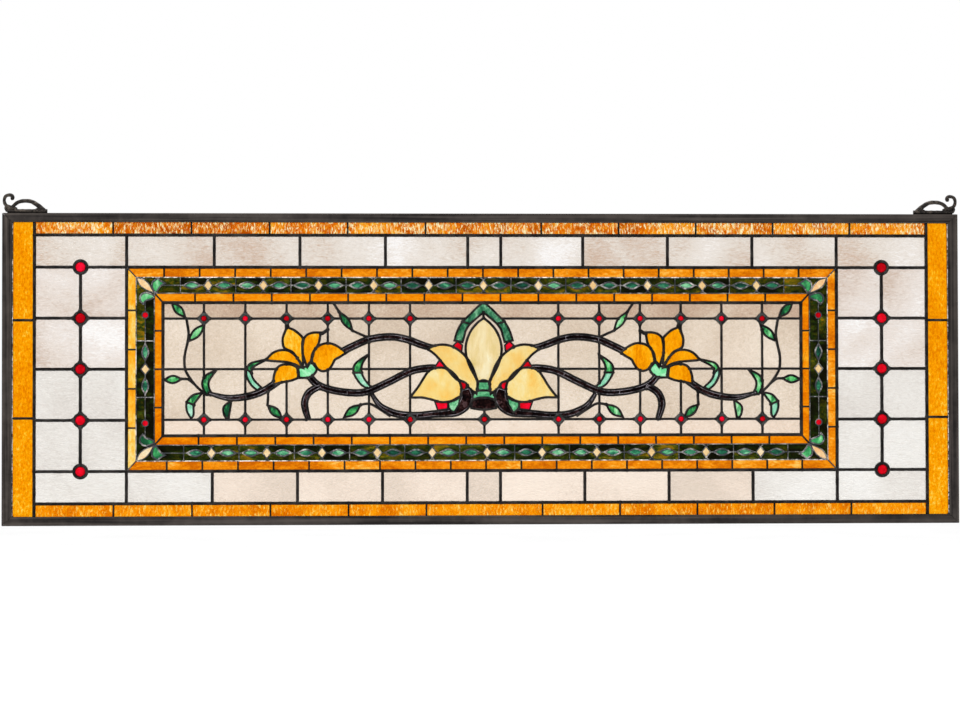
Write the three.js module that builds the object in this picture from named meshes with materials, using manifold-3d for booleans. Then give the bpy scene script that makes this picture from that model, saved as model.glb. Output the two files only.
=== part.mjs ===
// A long stained glass panel in a metal channel frame, made to hang by two scroll hooks.
// Millimetres, +Z up. The panel stands in the XZ plane and its front looks along -Y.
// The origin lies midway between the two places where the hooks bear on what holds them.
import * as THREE from 'three';
import { mergeVertices } from 'three/addons/utils/BufferGeometryUtils.js';
import Module from 'manifold-3d';

const wasm = await Module();
wasm.setup();

// Frame
const WIDTH = 902;
const HEIGHT = 293;
const SIDE_RAIL_FACE = 9;
const TOP_RAIL_FACE = 8.5;
const RAIL_WEB = 2;
const RAIL_LIP = 1.45;
const LIP_EDGE_WIDTH = 2;
const LIP_EDGE_STEP = 0.6;

// Glass and lead, through the thickness
const GLASS = 3;
const CLEARANCE = 0.3;
const LEAD_FLANGE = 0.6;
const LEAD_HEART = 1.2;

// Lead faces
const LEAD_FACE = 3;
const THIN_LEAD_FACE = 1.6;
const TILE_LEAD_FACE = 1.8;
const GRID_LEAD_FACE = 2;
const PETAL_LEAD_FACE = 2.4;
const VINE_WIDTH = 6.2;

// Widths of the borders from the frame inwards, at the sides and at the top and bottom
const AMBER_SIDE = 20.8;
const AMBER_TOP = 12;
const CLEAR_SIDE = 86;
const CLEAR_TOP = 30.2;
const OUTER_GOLD_SIDE = 9;
const OUTER_GOLD_TOP = 9.6;
const BAND_SIDE = 17;
const BAND_TOP = 14.9;
const INNER_GOLD_SIDE = 8;
const INNER_GOLD_TOP = 8.8;

// Tiles and panes of the borders
const AMBER_CENTRE_TILE = 109.4;
const AMBER_TILE = 73.3;
const CLEAR_CENTRE_PANE = 30.2;
const CLEAR_SECOND_PANE = 78;
const CLEAR_PANE = 80.7;
const DIAMOND_PITCH = 51.8;
const DIAMOND_WIDTH = 10.5;
const DIAMOND_HEIGHT = 12;
const DIAMOND_RISE = 0.8;
const CORNER_PETAL_WIDTH = 5;

// Jewels
const JEWEL_RADIUS = 5;
const JEWEL_FACE_RADIUS = 4.4;
const JEWEL_RISE = 1.7;
const BOSS_RADIUS = 7.4;
const BOSS_REACH = 9.9;
const JEWEL_ROWS = 5;
const SMALL_BOSS = 5.6;
const ROUND_SIDES = 8;
const FLATNESS = 0.0001;

// Grid of the middle field
const GRID_FIRST_COLUMN = 69.6;
const GRID_PITCH = 38.7;
const GRID_COLUMNS = 6;
const GRID_ROW_INSET = 15;

// The amber glass at the sides is cut in three, at this share of the sight size
const AMBER_SIDE_CUT = 1 / 3;

// Scroll hooks
const HOOK_DEPTH = 5;
const HOOK_CURL_WIRE = 2.7;
const HOOK_ARCH_WIDTHS = [3.2, 3.8, 4, 4, 4, 4.4, 4.4, 2.4];
const HOOK_BASE_HEIGHT = 3.8;
const HOOK_BASE_START = 4.6;
const HOOK_BASE_END = 41.8;
const HOOK_BEARING_X = 21.5;
const HOOK_BEARING_Z = 9.8;

// The picture is drawn on a field of this half width and half height, then scaled to the real field
const DRAWN_HALF_WIDTH = 301.2;
const DRAWN_HALF_HEIGHT = 62.5;

const COLOURS = {
  metal: { color: 0x35322f, metalness: 0.8, roughness: 0.5 },
  lead: { color: 0x2c2927, metalness: 0.7, roughness: 0.45 },
  amber: { color: 0xf59a10, metalness: 0, roughness: 0.15 },
  gold: { color: 0xf08c12, metalness: 0, roughness: 0.15 },
  clear: { color: 0xece3dc, metalness: 0, roughness: 0.1 },
  field: { color: 0xe6d4c2, metalness: 0, roughness: 0.15 },
  band: { color: 0x24321a, metalness: 0, roughness: 0.15 },
  cream: { color: 0xf2dc96, metalness: 0, roughness: 0.15 },
  orange: { color: 0xf6980c, metalness: 0, roughness: 0.15 },
  green: { color: 0x3aa860, metalness: 0, roughness: 0.15 },
  mint: { color: 0x8ce0a0, metalness: 0, roughness: 0.15 },
  red: { color: 0xc8081a, metalness: 0, roughness: 0.08 },
};

// Distances towards the front from the middle of the glass
const glassFace = GLASS / 2;
const flangeBack = glassFace + CLEARANCE;
const leadFace = flangeBack + LEAD_FLANGE;
const railFace = flangeBack + RAIL_LIP;

// Half sizes of the lead lines, from the frame inwards
const inset = (line, side, top) => ({ x: line.x - side, z: line.z - top });
const outside = { x: WIDTH / 2, z: HEIGHT / 2 };
const sight = inset(outside, SIDE_RAIL_FACE, TOP_RAIL_FACE);
const channelFloor = inset(outside, RAIL_WEB + CLEARANCE, RAIL_WEB + CLEARANCE);
const amberLine = inset(sight, AMBER_SIDE, AMBER_TOP);
const clearLine = inset(amberLine, CLEAR_SIDE, CLEAR_TOP);
const bandOuterLine = inset(clearLine, OUTER_GOLD_SIDE, OUTER_GOLD_TOP);
const bandInnerLine = inset(bandOuterLine, BAND_SIDE, BAND_TOP);
const fieldLine = inset(bandInnerLine, INNER_GOLD_SIDE, INNER_GOLD_TOP);

const bearing = { x: outside.x - HOOK_BEARING_X, z: outside.z + HOOK_BEARING_Z };
// The picture keeps its proportions and fills the field's width or height, whichever is reached first.
const pictureFit = Math.min(fieldLine.x / DRAWN_HALF_WIDTH, fieldLine.z / DRAWN_HALF_HEIGHT);
const petalLead = PETAL_LEAD_FACE * pictureFit;

// Solids

function prism(shape, back, front) {
  const geometry = new THREE.ExtrudeGeometry(shape, { depth: front - back, bevelEnabled: false });
  geometry.translate(0, 0, back);
  geometry.rotateX(Math.PI / 2);
  return geometry;
}

function solid(geometry) {
  const bare = geometry.clone();
  bare.deleteAttribute('normal');
  bare.deleteAttribute('uv');
  const merged = mergeVertices(bare);
  const vertProperties = new Float32Array(merged.attributes.position.array);
  const triVerts = new Uint32Array(merged.index.array);
  return new wasm.Manifold(new wasm.Mesh({ numProp: 3, vertProperties, triVerts }));
}

function geometryOf(body) {
  const mesh = body.getMesh();
  const geometry = new THREE.BufferGeometry();
  geometry.setAttribute('position', new THREE.BufferAttribute(new Float32Array(mesh.vertProperties), 3));
  geometry.setIndex(Array.from(mesh.triVerts));
  const faceted = geometry.toNonIndexed();
  faceted.computeVertexNormals();
  return faceted;
}

function join(bodies) {
  let list = bodies;
  while (list.length > 1) {
    const pairs = [];
    for (let i = 0; i < list.length; i += 2) {
      pairs.push(i + 1 < list.length ? list[i].add(list[i + 1]) : list[i]);
    }
    list = pairs;
  }
  return list[0];
}

// The same body with the flat faces that its joins left in pieces made whole again.
const tidied = (body) => body.asOriginal().simplify(FLATNESS);

const polygon = (points) => new THREE.Shape(points.map(([x, z]) => new THREE.Vector2(x, z)));
const plate = (points, back, front) => solid(prism(polygon(points), back, front));
const mirror = (points) => points.map(([x, z]) => [-x, z]);

function rectangle(x0, x1, z0, z1) {
  return [[x0, z0], [x1, z0], [x1, z1], [x0, z1]];
}

function ring(outer, inner, back, front) {
  const shape = polygon(rectangle(-outer.x, outer.x, -outer.z, outer.z));
  shape.holes.push(new THREE.Path(polygon(rectangle(-inner.x, inner.x, -inner.z, inner.z)).getPoints()));
  return solid(prism(shape, back, front));
}

function rhombus(x, z, halfWidth, halfHeight) {
  return [[x - halfWidth, z], [x, z - halfHeight], [x + halfWidth, z], [x, z + halfHeight]];
}

function roundPlate(x, z, radius, back, front) {
  const points = Array.from({ length: ROUND_SIDES }, (unused, i) => {
    const angle = ((i + 0.5) / ROUND_SIDES) * 2 * Math.PI;
    return [x + radius * Math.cos(angle), z + radius * Math.sin(angle)];
  });
  return plate(points, back, front);
}

// Moves each corner of an outline outwards by a distance, along the bisector of its two sides.
function grow(points, distance) {
  const turnsLeft = !THREE.ShapeUtils.isClockWise(points.map(([x, z]) => new THREE.Vector2(x, z)));
  const outwards = turnsLeft ? distance : -distance;
  return points.map((point, i) => {
    const before = points[(i + points.length - 1) % points.length];
    const after = points[(i + 1) % points.length];
    return shifted(before, point, after, outwards);
  });
}

// A corner moved to its right by a distance, with long mitres held to twice that distance.
function shifted(before, point, after, distance) {
  const into = new THREE.Vector2(point[0] - before[0], point[1] - before[1]).normalize();
  const out = new THREE.Vector2(after[0] - point[0], after[1] - point[1]).normalize();
  const bisector = into.clone().add(out).normalize();
  const mitre = Math.min(1 / Math.max(bisector.dot(out), 1e-6), 2);
  return [point[0] + bisector.y * mitre * distance, point[1] - bisector.x * mitre * distance];
}

// The outline of a strip of lead or glass that follows a line of points, with its width at each.
function strip(points, widths) {
  const width = (i) => (Array.isArray(widths) ? widths[i] : widths);
  const side = (sign) => points.map((point, i) => {
    const before = points[i - 1] ?? [2 * point[0] - points[1][0], 2 * point[1] - points[1][1]];
    const last = points[i - 1];
    const after = points[i + 1] ?? [2 * point[0] - last[0], 2 * point[1] - last[1]];
    return shifted(before, point, after, (sign * width(i)) / 2);
  });
  return [...side(1), ...side(-1).reverse()];
}

// Points of the drawing, scaled to the real field
const drawn = (points) => points.map(([x, z]) => [x * pictureFit, z * pictureFit]);

// Middle picture: outlines of the glass on the right-hand side, from the middle of the field

const LOTUS_CENTRE_HALF = [[6, -10.7], [11, -2], [15.6, 10], [16, 21], [11, 34], [0, 46.5]];
const lotusCentre = drawn([...LOTUS_CENTRE_HALF, ...mirror(LOTUS_CENTRE_HALF).reverse().slice(1)]);
const lotusInner = drawn([
  [50.8, 18.9], [42.6, 22], [34.5, 21.5], [26.3, 17.9], [17.1, 8.7], [11, -3.5], [8.6, -19],
  [12, -20], [18.1, -10.7], [25.3, -9.8], [34.5, 1.6], [42.6, 11.8],
]);
const lotusOuter = drawn([
  [67.7, -23.6], [60, -12.8], [54.9, -3.6], [48.7, -0.5], [42.6, -0.5], [32.4, -3.5],
  [24.2, -13.8], [22.4, -23.1], [30.4, -29.2], [42.6, -29.7], [52.9, -26.7],
]);
const archLeg = [
  [0, 61.9], [12, 50.6], [23.2, 36.3], [26.8, 26.1], [21.3, 25.1], [19.1, 32.3], [13, 42.4], [0, 54.7],
];
const arch = drawn([...archLeg, ...mirror(archLeg).reverse().slice(1, -1)]);
const calyx = drawn([
  [6, -21], [9.6, -26.6], [-9.6, -26.6], [-6, -21], [-5, -13.5], [0, -12.9], [5, -13.5],
]);

const flowerPetals = {
  upright: drawn([
    [183.4, 38.6], [187.8, 30.6], [187.1, 20.5], [177.7, 13.5], [170, 5], [171.3, 15.5], [171.3, 27.8],
  ]),
  inner: drawn([
    [155.5, 34.2], [156.2, 24.9], [161.2, 14.8], [164.6, 6.6], [166.8, 6.8], [169, 21.3], [168.6, 29.2],
  ]),
  lying: drawn([
    [131.7, 15.4], [141.9, 9.7], [146.2, 3.2], [152.6, -1.1], [156.4, 1], [160.3, 9.5], [157.6, 18],
    [147.6, 23.1],
  ]),
  outer: drawn([
    [202, 9.7], [190.6, 16.9], [182, 15.4], [176.6, 9.7], [172.6, 3.4], [182, 5.5], [190.6, 8.1],
  ]),
  hanging: drawn([
    [195, -13.5], [187.7, -11.9], [177.7, -9.1], [175.9, -4.8], [177, 1], [183.4, 3.3], [193.5, -1.1],
  ]),
  calyx: drawn([[174, 0.1], [163, 4], [158.9, 0.6], [164.1, -6.9], [172.7, -7.4]]),
};

// Vines: lines of black glass with their lead, and their widths as shares of a vine's full width
const vines = [
  {
    line: drawn([
      [133, 16.5], [121.1, 22.4], [107, 28.1], [88.2, 30.3], [73.1, 28], [59, 22.7], [48, 18.5],
    ]),
  },
  {
    line: drawn([
      [164.5, -6], [157.8, -13.6], [146.1, -18.9], [128.7, -22], [111, -21.5], [91, -13], [76.9, -5.9],
      [65.6, -1.2], [53, 0],
    ]),
  },
  {
    line: drawn([
      [107, -21], [98.5, -33.7], [87.6, -40.4], [76.9, -43.2], [62.4, -43.9], [48, -42.5], [34, -41.5],
      [23, -40], [17, -32], [16.4, -20],
    ]),
    widths: [0.5, 0.8, 1, 1, 1, 1, 1.1, 1.45, 1.6, 1.45],
  },
  {
    line: drawn([[192, -10.5], [207.7, -20.8], [223.6, -25.9], [241, -27], [258.8, -22.4]]),
    widths: [1, 1, 1, 0.85, 0.5],
  },
  { line: drawn([[153, -15.5], [164.3, -22], [168.6, -33], [165, -47.5]]), widths: [0.8, 0.8, 0.7, 0.5] },
];

// Rooms of field glass that the leads of the picture close off: masks drawn inside those leads
const roomBetweenVines = drawn([
  [133, 16.5], [121.1, 22.4], [107, 28.1], [88.2, 30.3], [73.1, 28], [59, 22.7], [48, 18.5], [38, 4],
  [53, 0], [65.6, -1.2], [76.9, -5.9], [91, -13], [111, -21.5], [128.7, -22], [146.1, -18.9], [157.8, -13.6],
  [164.5, -6], [150, 5],
]);
const roomUnderVine = drawn([
  [53, 0], [65.6, -1.2], [76.9, -5.9], [91, -13], [107, -21], [98.5, -33.7], [87.6, -40.4], [76.9, -43.2],
  [62.4, -43.9], [48, -42.5], [39, -42], [39, -15],
]);
const roomInArch = drawn([[0.9, 58], [15, 44], [22, 30], [24, 22], [11, 0], [6, 20], [0.9, 40]]);
const roomInHook = drawn([[20, -25], [31, -31], [39, -31], [39, -41], [20, -40]]);

// Small rooms that are filled with solder, with their scraps of glass set in it
const solderFills = [
  drawn([[8.5, -27], [8.5, -19], [14, -19], [14, -27]]),
  drawn([[12, -21], [16, -11], [24, -11], [24, -22], [17, -24]]),
  drawn([[33, 0], [46, 8], [50, 0], [44, -2]]),
  drawn([[36.5, -28], [41.5, -28], [41.5, -43], [36.5, -43]]),
];
const bothFills = [...solderFills, ...solderFills.map(mirror)];

const pictureGlass = {
  lotus_petal_centre: [lotusCentre, 'cream'],
  lotus_petal_inner_right: [lotusInner, 'cream'],
  lotus_petal_inner_left: [mirror(lotusInner), 'cream'],
  lotus_petal_outer_right: [lotusOuter, 'cream'],
  lotus_petal_outer_left: [mirror(lotusOuter), 'cream'],
  lotus_arch: [arch, 'green'],
  lotus_calyx: [calyx, 'mint'],
};
for (const [name, outline] of Object.entries(flowerPetals)) {
  const colour = name === 'calyx' ? 'mint' : 'orange';
  pictureGlass[`flower_right_${name}`] = [outline, colour];
  pictureGlass[`flower_left_${name}`] = [mirror(outline), colour];
}
const pictureOutlines = Object.values(pictureGlass).map(([outline]) => outline);

// The inside of the arch, which the leads of the grid stay out of
const archInside = drawn([[0, 60], [22, 34], [26, 20], [-26, 20], [-22, 34]]);

// The lead from the top of the arch down to the tip of the middle petal
const archSpine = (width) => strip(drawn([[0, 57], [0, 44]]), width);

// Places of what repeats

function everyStep(first, step, limit) {
  const places = [];
  for (let place = first; place < limit; place += step) places.push(place);
  return places;
}
const bothSides = (places) => places.flatMap((place) => (place === 0 ? [0] : [place, -place]));

const jewelX = (amberLine.x + clearLine.x) / 2;
const jewelZ = Array.from({ length: JEWEL_ROWS }, (unused, i) => (
  clearLine.z * (1 - (2 * i) / (JEWEL_ROWS - 1))));
const gridColumns = Array.from({ length: GRID_COLUMNS }, (unused, i) => GRID_FIRST_COLUMN + i * GRID_PITCH);
const gridRow = fieldLine.z - GRID_ROW_INSET;

// Lead net

// A bar of the lead net that crosses the front of a sheet of glass.
function bar(x0, z0, x1, z1, face) {
  return plate(strip([[x0, z0], [x1, z1]], face), flangeBack, leadFace);
}

function crossBars(line, inner, topPlaces, sidePlaces, face) {
  const bars = [];
  for (const x of bothSides(topPlaces)) {
    for (const sign of [1, -1]) bars.push(bar(x, sign * line.z, x, sign * inner.z, face));
  }
  for (const z of bothSides(sidePlaces)) {
    for (const sign of [1, -1]) bars.push(bar(sign * line.x, z, sign * inner.x, z, face));
  }
  return bars;
}

function mitreBars(line, inner, face) {
  return [1, -1].flatMap((sx) => [1, -1].map((sz) => (
    bar(sx * line.x, sz * line.z, sx * inner.x, sz * inner.z, face))));
}

function leadFrame(line, face) {
  const ringAround = (width, back, front) => ring(
    inset(line, -width / 2, -width / 2), inset(line, width / 2, width / 2), back, front);
  return [
    ringAround(face, flangeBack, leadFace),
    ringAround(LEAD_HEART, -leadFace, leadFace),
    ringAround(face, -leadFace, -flangeBack),
  ];
}

// The side lines of the amber border run past its corners to the rails.
function amberCorners() {
  const end = sight.z - CLEARANCE;
  return [1, -1].flatMap((sx) => [1, -1].flatMap((sz) => {
    const line = [[sx * amberLine.x, sz * amberLine.z], [sx * amberLine.x, sz * end]];
    return [
      plate(strip(line, LEAD_FACE), flangeBack, leadFace),
      plate(strip(line, LEAD_HEART), -leadFace, leadFace),
    ];
  }));
}

function amberBars() {
  const stop = inset(sight, CLEARANCE, CLEARANCE);
  const top = everyStep(AMBER_CENTRE_TILE / 2, AMBER_TILE, amberLine.x - AMBER_TILE / 2);
  return crossBars(stop, amberLine, top, [sight.z * AMBER_SIDE_CUT], TILE_LEAD_FACE);
}

function clearBars() {
  const second = CLEAR_CENTRE_PANE / 2 + CLEAR_SECOND_PANE;
  const others = everyStep(second, CLEAR_PANE, clearLine.x - CLEAR_PANE / 2);
  const top = [CLEAR_CENTRE_PANE / 2, ...others, clearLine.x];
  const bars = crossBars(amberLine, clearLine, top, jewelZ.filter((z) => z >= 0), GRID_LEAD_FACE);
  for (const sign of [1, -1]) {
    bars.push(bar(sign * jewelX, -clearLine.z, sign * jewelX, clearLine.z, GRID_LEAD_FACE));
  }
  return bars;
}

// The gold lines and the band keep only the leads of their corners here: the ones between tiles are
// finer than the rest of the net.
function cornerBars() {
  return [
    ...mitreBars(clearLine, bandOuterLine, TILE_LEAD_FACE),
    ...mitreBars(bandInnerLine, fieldLine, TILE_LEAD_FACE),
    ...mitreBars(bandOuterLine, bandInnerLine, CORNER_PETAL_WIDTH),
  ];
}

function gridBars() {
  const columns = bothSides(gridColumns).map((x) => bar(x, -fieldLine.z, x, fieldLine.z, GRID_LEAD_FACE));
  const rows = bothSides([0, gridRow]).map((z) => bar(-fieldLine.x, z, fieldLine.x, z, GRID_LEAD_FACE));
  const middle = bar(0, -fieldLine.z, 0, -gridRow / 2, GRID_LEAD_FACE);
  return [...columns, ...rows, middle];
}

function smallBosses() {
  const places = bothSides(gridColumns).flatMap((x) => [[x, gridRow], [x, -gridRow]]);
  places.push([0, -gridRow]);
  return places.map(([x, z]) => plate(rhombus(x, z, SMALL_BOSS, SMALL_BOSS), flangeBack, leadFace));
}

function jewelBosses() {
  return [1, -1].flatMap((sign) => jewelZ.flatMap((z, row) => {
    const x = sign * jewelX;
    const inner = row > 0 && row < JEWEL_ROWS - 1;
    const front = roundPlate(x, z, BOSS_RADIUS, flangeBack, leadFace);
    const points = inner ? [plate(rhombus(x, z, BOSS_REACH, BOSS_REACH), flangeBack, leadFace)] : [];
    return [front, ...points];
  }));
}

function leadNet() {
  const frames = [
    ...leadFrame(amberLine, LEAD_FACE),
    ...leadFrame(clearLine, LEAD_FACE),
    ...leadFrame(bandOuterLine, THIN_LEAD_FACE),
    ...leadFrame(bandInnerLine, THIN_LEAD_FACE),
    ...leadFrame(fieldLine, LEAD_FACE),
  ];
  const borders = [...amberCorners(), ...amberBars(), ...clearBars(), ...cornerBars()];
  const inArch = plate(archInside, flangeBack, leadFace);
  const grid = join([...gridBars(), ...smallBosses()]).subtract(inArch);
  const picture = [
    ...pictureOutlines.map((outline) => plate(grow(outline, petalLead), -leadFace, leadFace)),
    ...vineOutlines().map((outline) => plate(outline, -leadFace, leadFace)),
    ...bothFills.map((outline) => plate(outline, -leadFace, leadFace)),
    plate(archSpine(petalLead), -leadFace, leadFace),
  ];
  const glassHoles = join(pictureOutlines.map((outline) => plate(outline, -railFace, railFace)));
  const jewelHoles = join([1, -1].flatMap((sign) => jewelZ.map((z) => (
    roundPlate(sign * jewelX, z, JEWEL_FACE_RADIUS + CLEARANCE, -railFace, railFace)))));
  const field = plate(rectangle(-fieldLine.x, fieldLine.x, -fieldLine.z, fieldLine.z), -railFace, railFace);
  const inField = join([grid, ...picture]).intersect(field);
  return join([...frames, ...borders, inField, ...jewelBosses()]).subtract(glassHoles).subtract(jewelHoles);
}

function vineOutlines() {
  const full = VINE_WIDTH * pictureFit;
  const right = vines.map(({ line, widths }) => (
    strip(line, widths?.map((share) => share * full) ?? full)));
  return [...right, ...right.map(mirror)];
}

// Sheets of glass

const sheet = (points) => plate(points, -glassFace, glassFace);
const hold = LEAD_HEART / 2 + CLEARANCE;

function glassRing(outer, inner) {
  return ring(inset(outer, hold, hold), inset(inner, -hold, -hold), -glassFace, glassFace);
}

function amberStrips() {
  const inner = inset(amberLine, -hold, -hold);
  const side = rectangle(inner.x, channelFloor.x, -channelFloor.z, channelFloor.z);
  const top = rectangle(-amberLine.x + hold, amberLine.x - hold, inner.z, channelFloor.z);
  return {
    amber_glass_right: sheet(side),
    amber_glass_left: sheet(mirror(side)),
    amber_glass_top: sheet(top),
    amber_glass_bottom: sheet(top.map(([x, z]) => [x, -z])),
  };
}

function clearGlass() {
  const holes = [1, -1].flatMap((sign) => jewelZ.map((z) => (
    roundPlate(sign * jewelX, z, JEWEL_RADIUS + CLEARANCE, -leadFace, leadFace))));
  return glassRing(amberLine, clearLine).subtract(join(holes));
}

// The four strips of a gold line, cut at the mitres.
function goldStrips(name, outerLine, innerLine) {
  const o = inset(outerLine, hold, hold);
  const i = inset(innerLine, -hold, -hold);
  const part = CLEARANCE / 2 / Math.SQRT1_2;
  const top = [[-o.x + part, o.z], [-i.x + part, i.z], [i.x - part, i.z], [o.x - part, o.z]];
  const side = [[o.x, -o.z + part], [o.x, o.z - part], [i.x, i.z - part], [i.x, -i.z + part]];
  return {
    [`${name}_top`]: sheet(top),
    [`${name}_bottom`]: sheet(top.map(([x, z]) => [x, -z])),
    [`${name}_right`]: sheet(side),
    [`${name}_left`]: sheet(mirror(side)),
  };
}

// The dark band, with the diamonds standing up from its face as their soldered edges do.
function greenBand() {
  const top = (bandOuterLine.z + bandInnerLine.z) / 2;
  const side = (bandOuterLine.x + bandInnerLine.x) / 2;
  const reach = bandInnerLine.x - DIAMOND_PITCH / 2;
  const along = bothSides([0, ...everyStep(DIAMOND_PITCH, DIAMOND_PITCH, reach)]);
  const places = along.flatMap((x) => [[x, top], [x, -top]]);
  places.push([side, 0], [-side, 0]);
  const diamonds = places.map(([x, z]) => (
    plate(rhombus(x, z, DIAMOND_WIDTH / 2, DIAMOND_HEIGHT / 2), 0, glassFace + DIAMOND_RISE)));
  return join([glassRing(bandOuterLine, bandInnerLine), ...diamonds]);
}

function fieldSheet() {
  const inner = inset(fieldLine, hold, hold);
  return sheet(rectangle(-inner.x, inner.x, -inner.z, inner.z));
}

function fieldGlass() {
  const lead = join([
    ...pictureOutlines.map((outline) => plate(grow(outline, petalLead + CLEARANCE), -leadFace, leadFace)),
    ...vineOutlines().map((outline) => plate(grow(outline, CLEARANCE), -leadFace, leadFace)),
    ...bothFills.map((outline) => plate(grow(outline, CLEARANCE), -leadFace, leadFace)),
    plate(archSpine(petalLead + 2 * CLEARANCE), -leadFace, leadFace),
  ]);
  const glass = fieldSheet().subtract(lead);
  const rooms = {
    between_vines: roomBetweenVines,
    under_vine: roomUnderVine,
    in_arch: roomInArch,
    in_hook: roomInHook,
  };
  const bodies = {};
  const masks = [];
  for (const [name, outline] of Object.entries(rooms)) {
    for (const [side, points] of [['right', outline], ['left', mirror(outline)]]) {
      const mask = plate(points, -leadFace, leadFace);
      masks.push(mask);
      bodies[`field_glass_${name}_${side}`] = glass.intersect(mask);
    }
  }
  bodies.field_glass = glass.subtract(join(masks));
  return bodies;
}

// Meshes

const panel = new THREE.Group();
panel.position.z = -bearing.z;

function addMesh(name, geometry, colour) {
  const mesh = new THREE.Mesh(geometry, new THREE.MeshStandardMaterial(COLOURS[colour]));
  mesh.name = name;
  panel.add(mesh);
  return mesh;
}

const addBody = (name, body, colour) => addMesh(name, geometryOf(tidied(body)), colour);

// One length of channel: the section runs along X at the top, with its ends cut to the mitre.
function railGeometry(half, distance, face, neighbourFace) {
  const step = railFace - LIP_EDGE_STEP;
  const floor = distance - RAIL_WEB;
  const inner = distance - face;
  const halfSection = [
    [distance, railFace], [inner + LIP_EDGE_WIDTH, railFace], [inner + LIP_EDGE_WIDTH, step],
    [inner, step], [inner, flangeBack], [floor, flangeBack],
  ];
  const section = [...halfSection, ...halfSection.map(([z, n]) => [z, -n]).reverse()];
  const shape = new THREE.Shape(section.map(([z, n]) => new THREE.Vector2(n, z)));
  const geometry = new THREE.ExtrudeGeometry(shape, { depth: 2 * half, bevelEnabled: false });
  geometry.translate(0, 0, -half);
  const position = geometry.attributes.position;
  const mitreGap = CLEARANCE / 2 / Math.SQRT1_2;
  for (let i = 0; i < position.count; i += 1) {
    const depth = distance - position.getY(i);
    const end = half - mitreGap - (depth * neighbourFace) / face;
    position.setXYZ(i, Math.sign(position.getZ(i)) * end, position.getX(i), position.getY(i));
  }
  geometry.computeVertexNormals();
  return geometry;
}

function addRails() {
  const level = [outside.x, outside.z, TOP_RAIL_FACE, SIDE_RAIL_FACE];
  const upright = [outside.z, outside.x, SIDE_RAIL_FACE, TOP_RAIL_FACE];
  addMesh('rail_top', railGeometry(...level), 'metal');
  addMesh('rail_bottom', railGeometry(...level), 'metal').rotation.y = Math.PI;
  addMesh('rail_right', railGeometry(...upright), 'metal').rotation.y = Math.PI / 2;
  addMesh('rail_left', railGeometry(...upright), 'metal').rotation.y = -Math.PI / 2;
}

// A scroll hook, drawn from the end of the frame inwards and up from the top rail.
function hookBody() {
  const curl = [
    [9.4, 5.9], [6.5, 6], [2.9, 8.2], [1.35, 11.8], [2.2, 15.2], [4.3, 17.4], [6.9, 17.9], [9.2, 16.8],
    [9.7, 14.7], [8, 13.2],
  ];
  const archLine = [
    [9, 5.6], [12.5, 9.3], [16.8, 11.2], [21.9, 11.8], [26.9, 10.9], [31.6, 8.2], [36, 5], [40.8, 1.6],
  ];
  const neck = [[3.4, 7.5], [3, 4], [4.4, 1.4]];
  const half = HOOK_DEPTH / 2;
  const outlines = [
    strip(curl, HOOK_CURL_WIRE),
    strip(archLine, HOOK_ARCH_WIDTHS),
    strip(neck, HOOK_CURL_WIRE),
    rectangle(HOOK_BASE_START, HOOK_BASE_END, CLEARANCE, HOOK_BASE_HEIGHT),
  ];
  return join(outlines.map((outline) => {
    const placed = outline.map(([x, z]) => [x - outside.x, z + outside.z]);
    return plate(placed, -half, half);
  }));
}

function addHooks() {
  const left = addBody('scroll_hook_left', hookBody(), 'metal');
  const original = left.geometry.attributes.position;
  const mirrored = left.geometry.clone();
  const position = mirrored.attributes.position;
  for (let i = 0; i < position.count; i += 3) {
    const corners = [0, 2, 1].map((k) => new THREE.Vector3().fromBufferAttribute(original, i + k));
    corners.forEach((corner, k) => position.setXYZ(i + k, -corner.x, corner.y, corner.z));
  }
  mirrored.computeVertexNormals();
  addMesh('scroll_hook_right', mirrored, 'metal');
}

function jewelGeometry() {
  const top = glassFace + JEWEL_RISE;
  const profile = [
    [0, -top], [JEWEL_FACE_RADIUS, -glassFace - LEAD_FLANGE], [JEWEL_RADIUS, -glassFace],
    [JEWEL_RADIUS, glassFace], [0, glassFace],
  ];
  const geometry = new THREE.LatheGeometry(profile.map(([r, y]) => new THREE.Vector2(r, y)), ROUND_SIDES);
  return geometry.rotateY(Math.PI / ROUND_SIDES);
}

function addJewels() {
  for (const [side, sign] of [['right', 1], ['left', -1]]) {
    jewelZ.forEach((z, row) => {
      addMesh(`jewel_${side}_${row + 1}`, jewelGeometry(), 'red').position.set(sign * jewelX, 0, z);
    });
  }
}

addRails();
addHooks();
addBody('lead_net', leadNet(), 'lead');
for (const [name, body] of Object.entries(amberStrips())) addBody(name, body, 'amber');
addBody('clear_border_glass', clearGlass(), 'clear');
for (const [name, body] of Object.entries(goldStrips('outer_gold_line', clearLine, bandOuterLine))) {
  addBody(name, body, 'gold');
}
addBody('green_band', greenBand(), 'band');
for (const [name, body] of Object.entries(goldStrips('inner_gold_line', bandInnerLine, fieldLine))) {
  addBody(name, body, 'gold');
}
addJewels();
for (const [name, [outline, colour]] of Object.entries(pictureGlass)) {
  addBody(name, sheet(grow(outline, -CLEARANCE)).intersect(fieldSheet()), colour);
}
for (const [name, body] of Object.entries(fieldGlass())) addBody(name, body, 'field');

export default panel;
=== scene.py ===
import math
import random

import bpy
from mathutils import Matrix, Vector, geometry, noise


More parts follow.
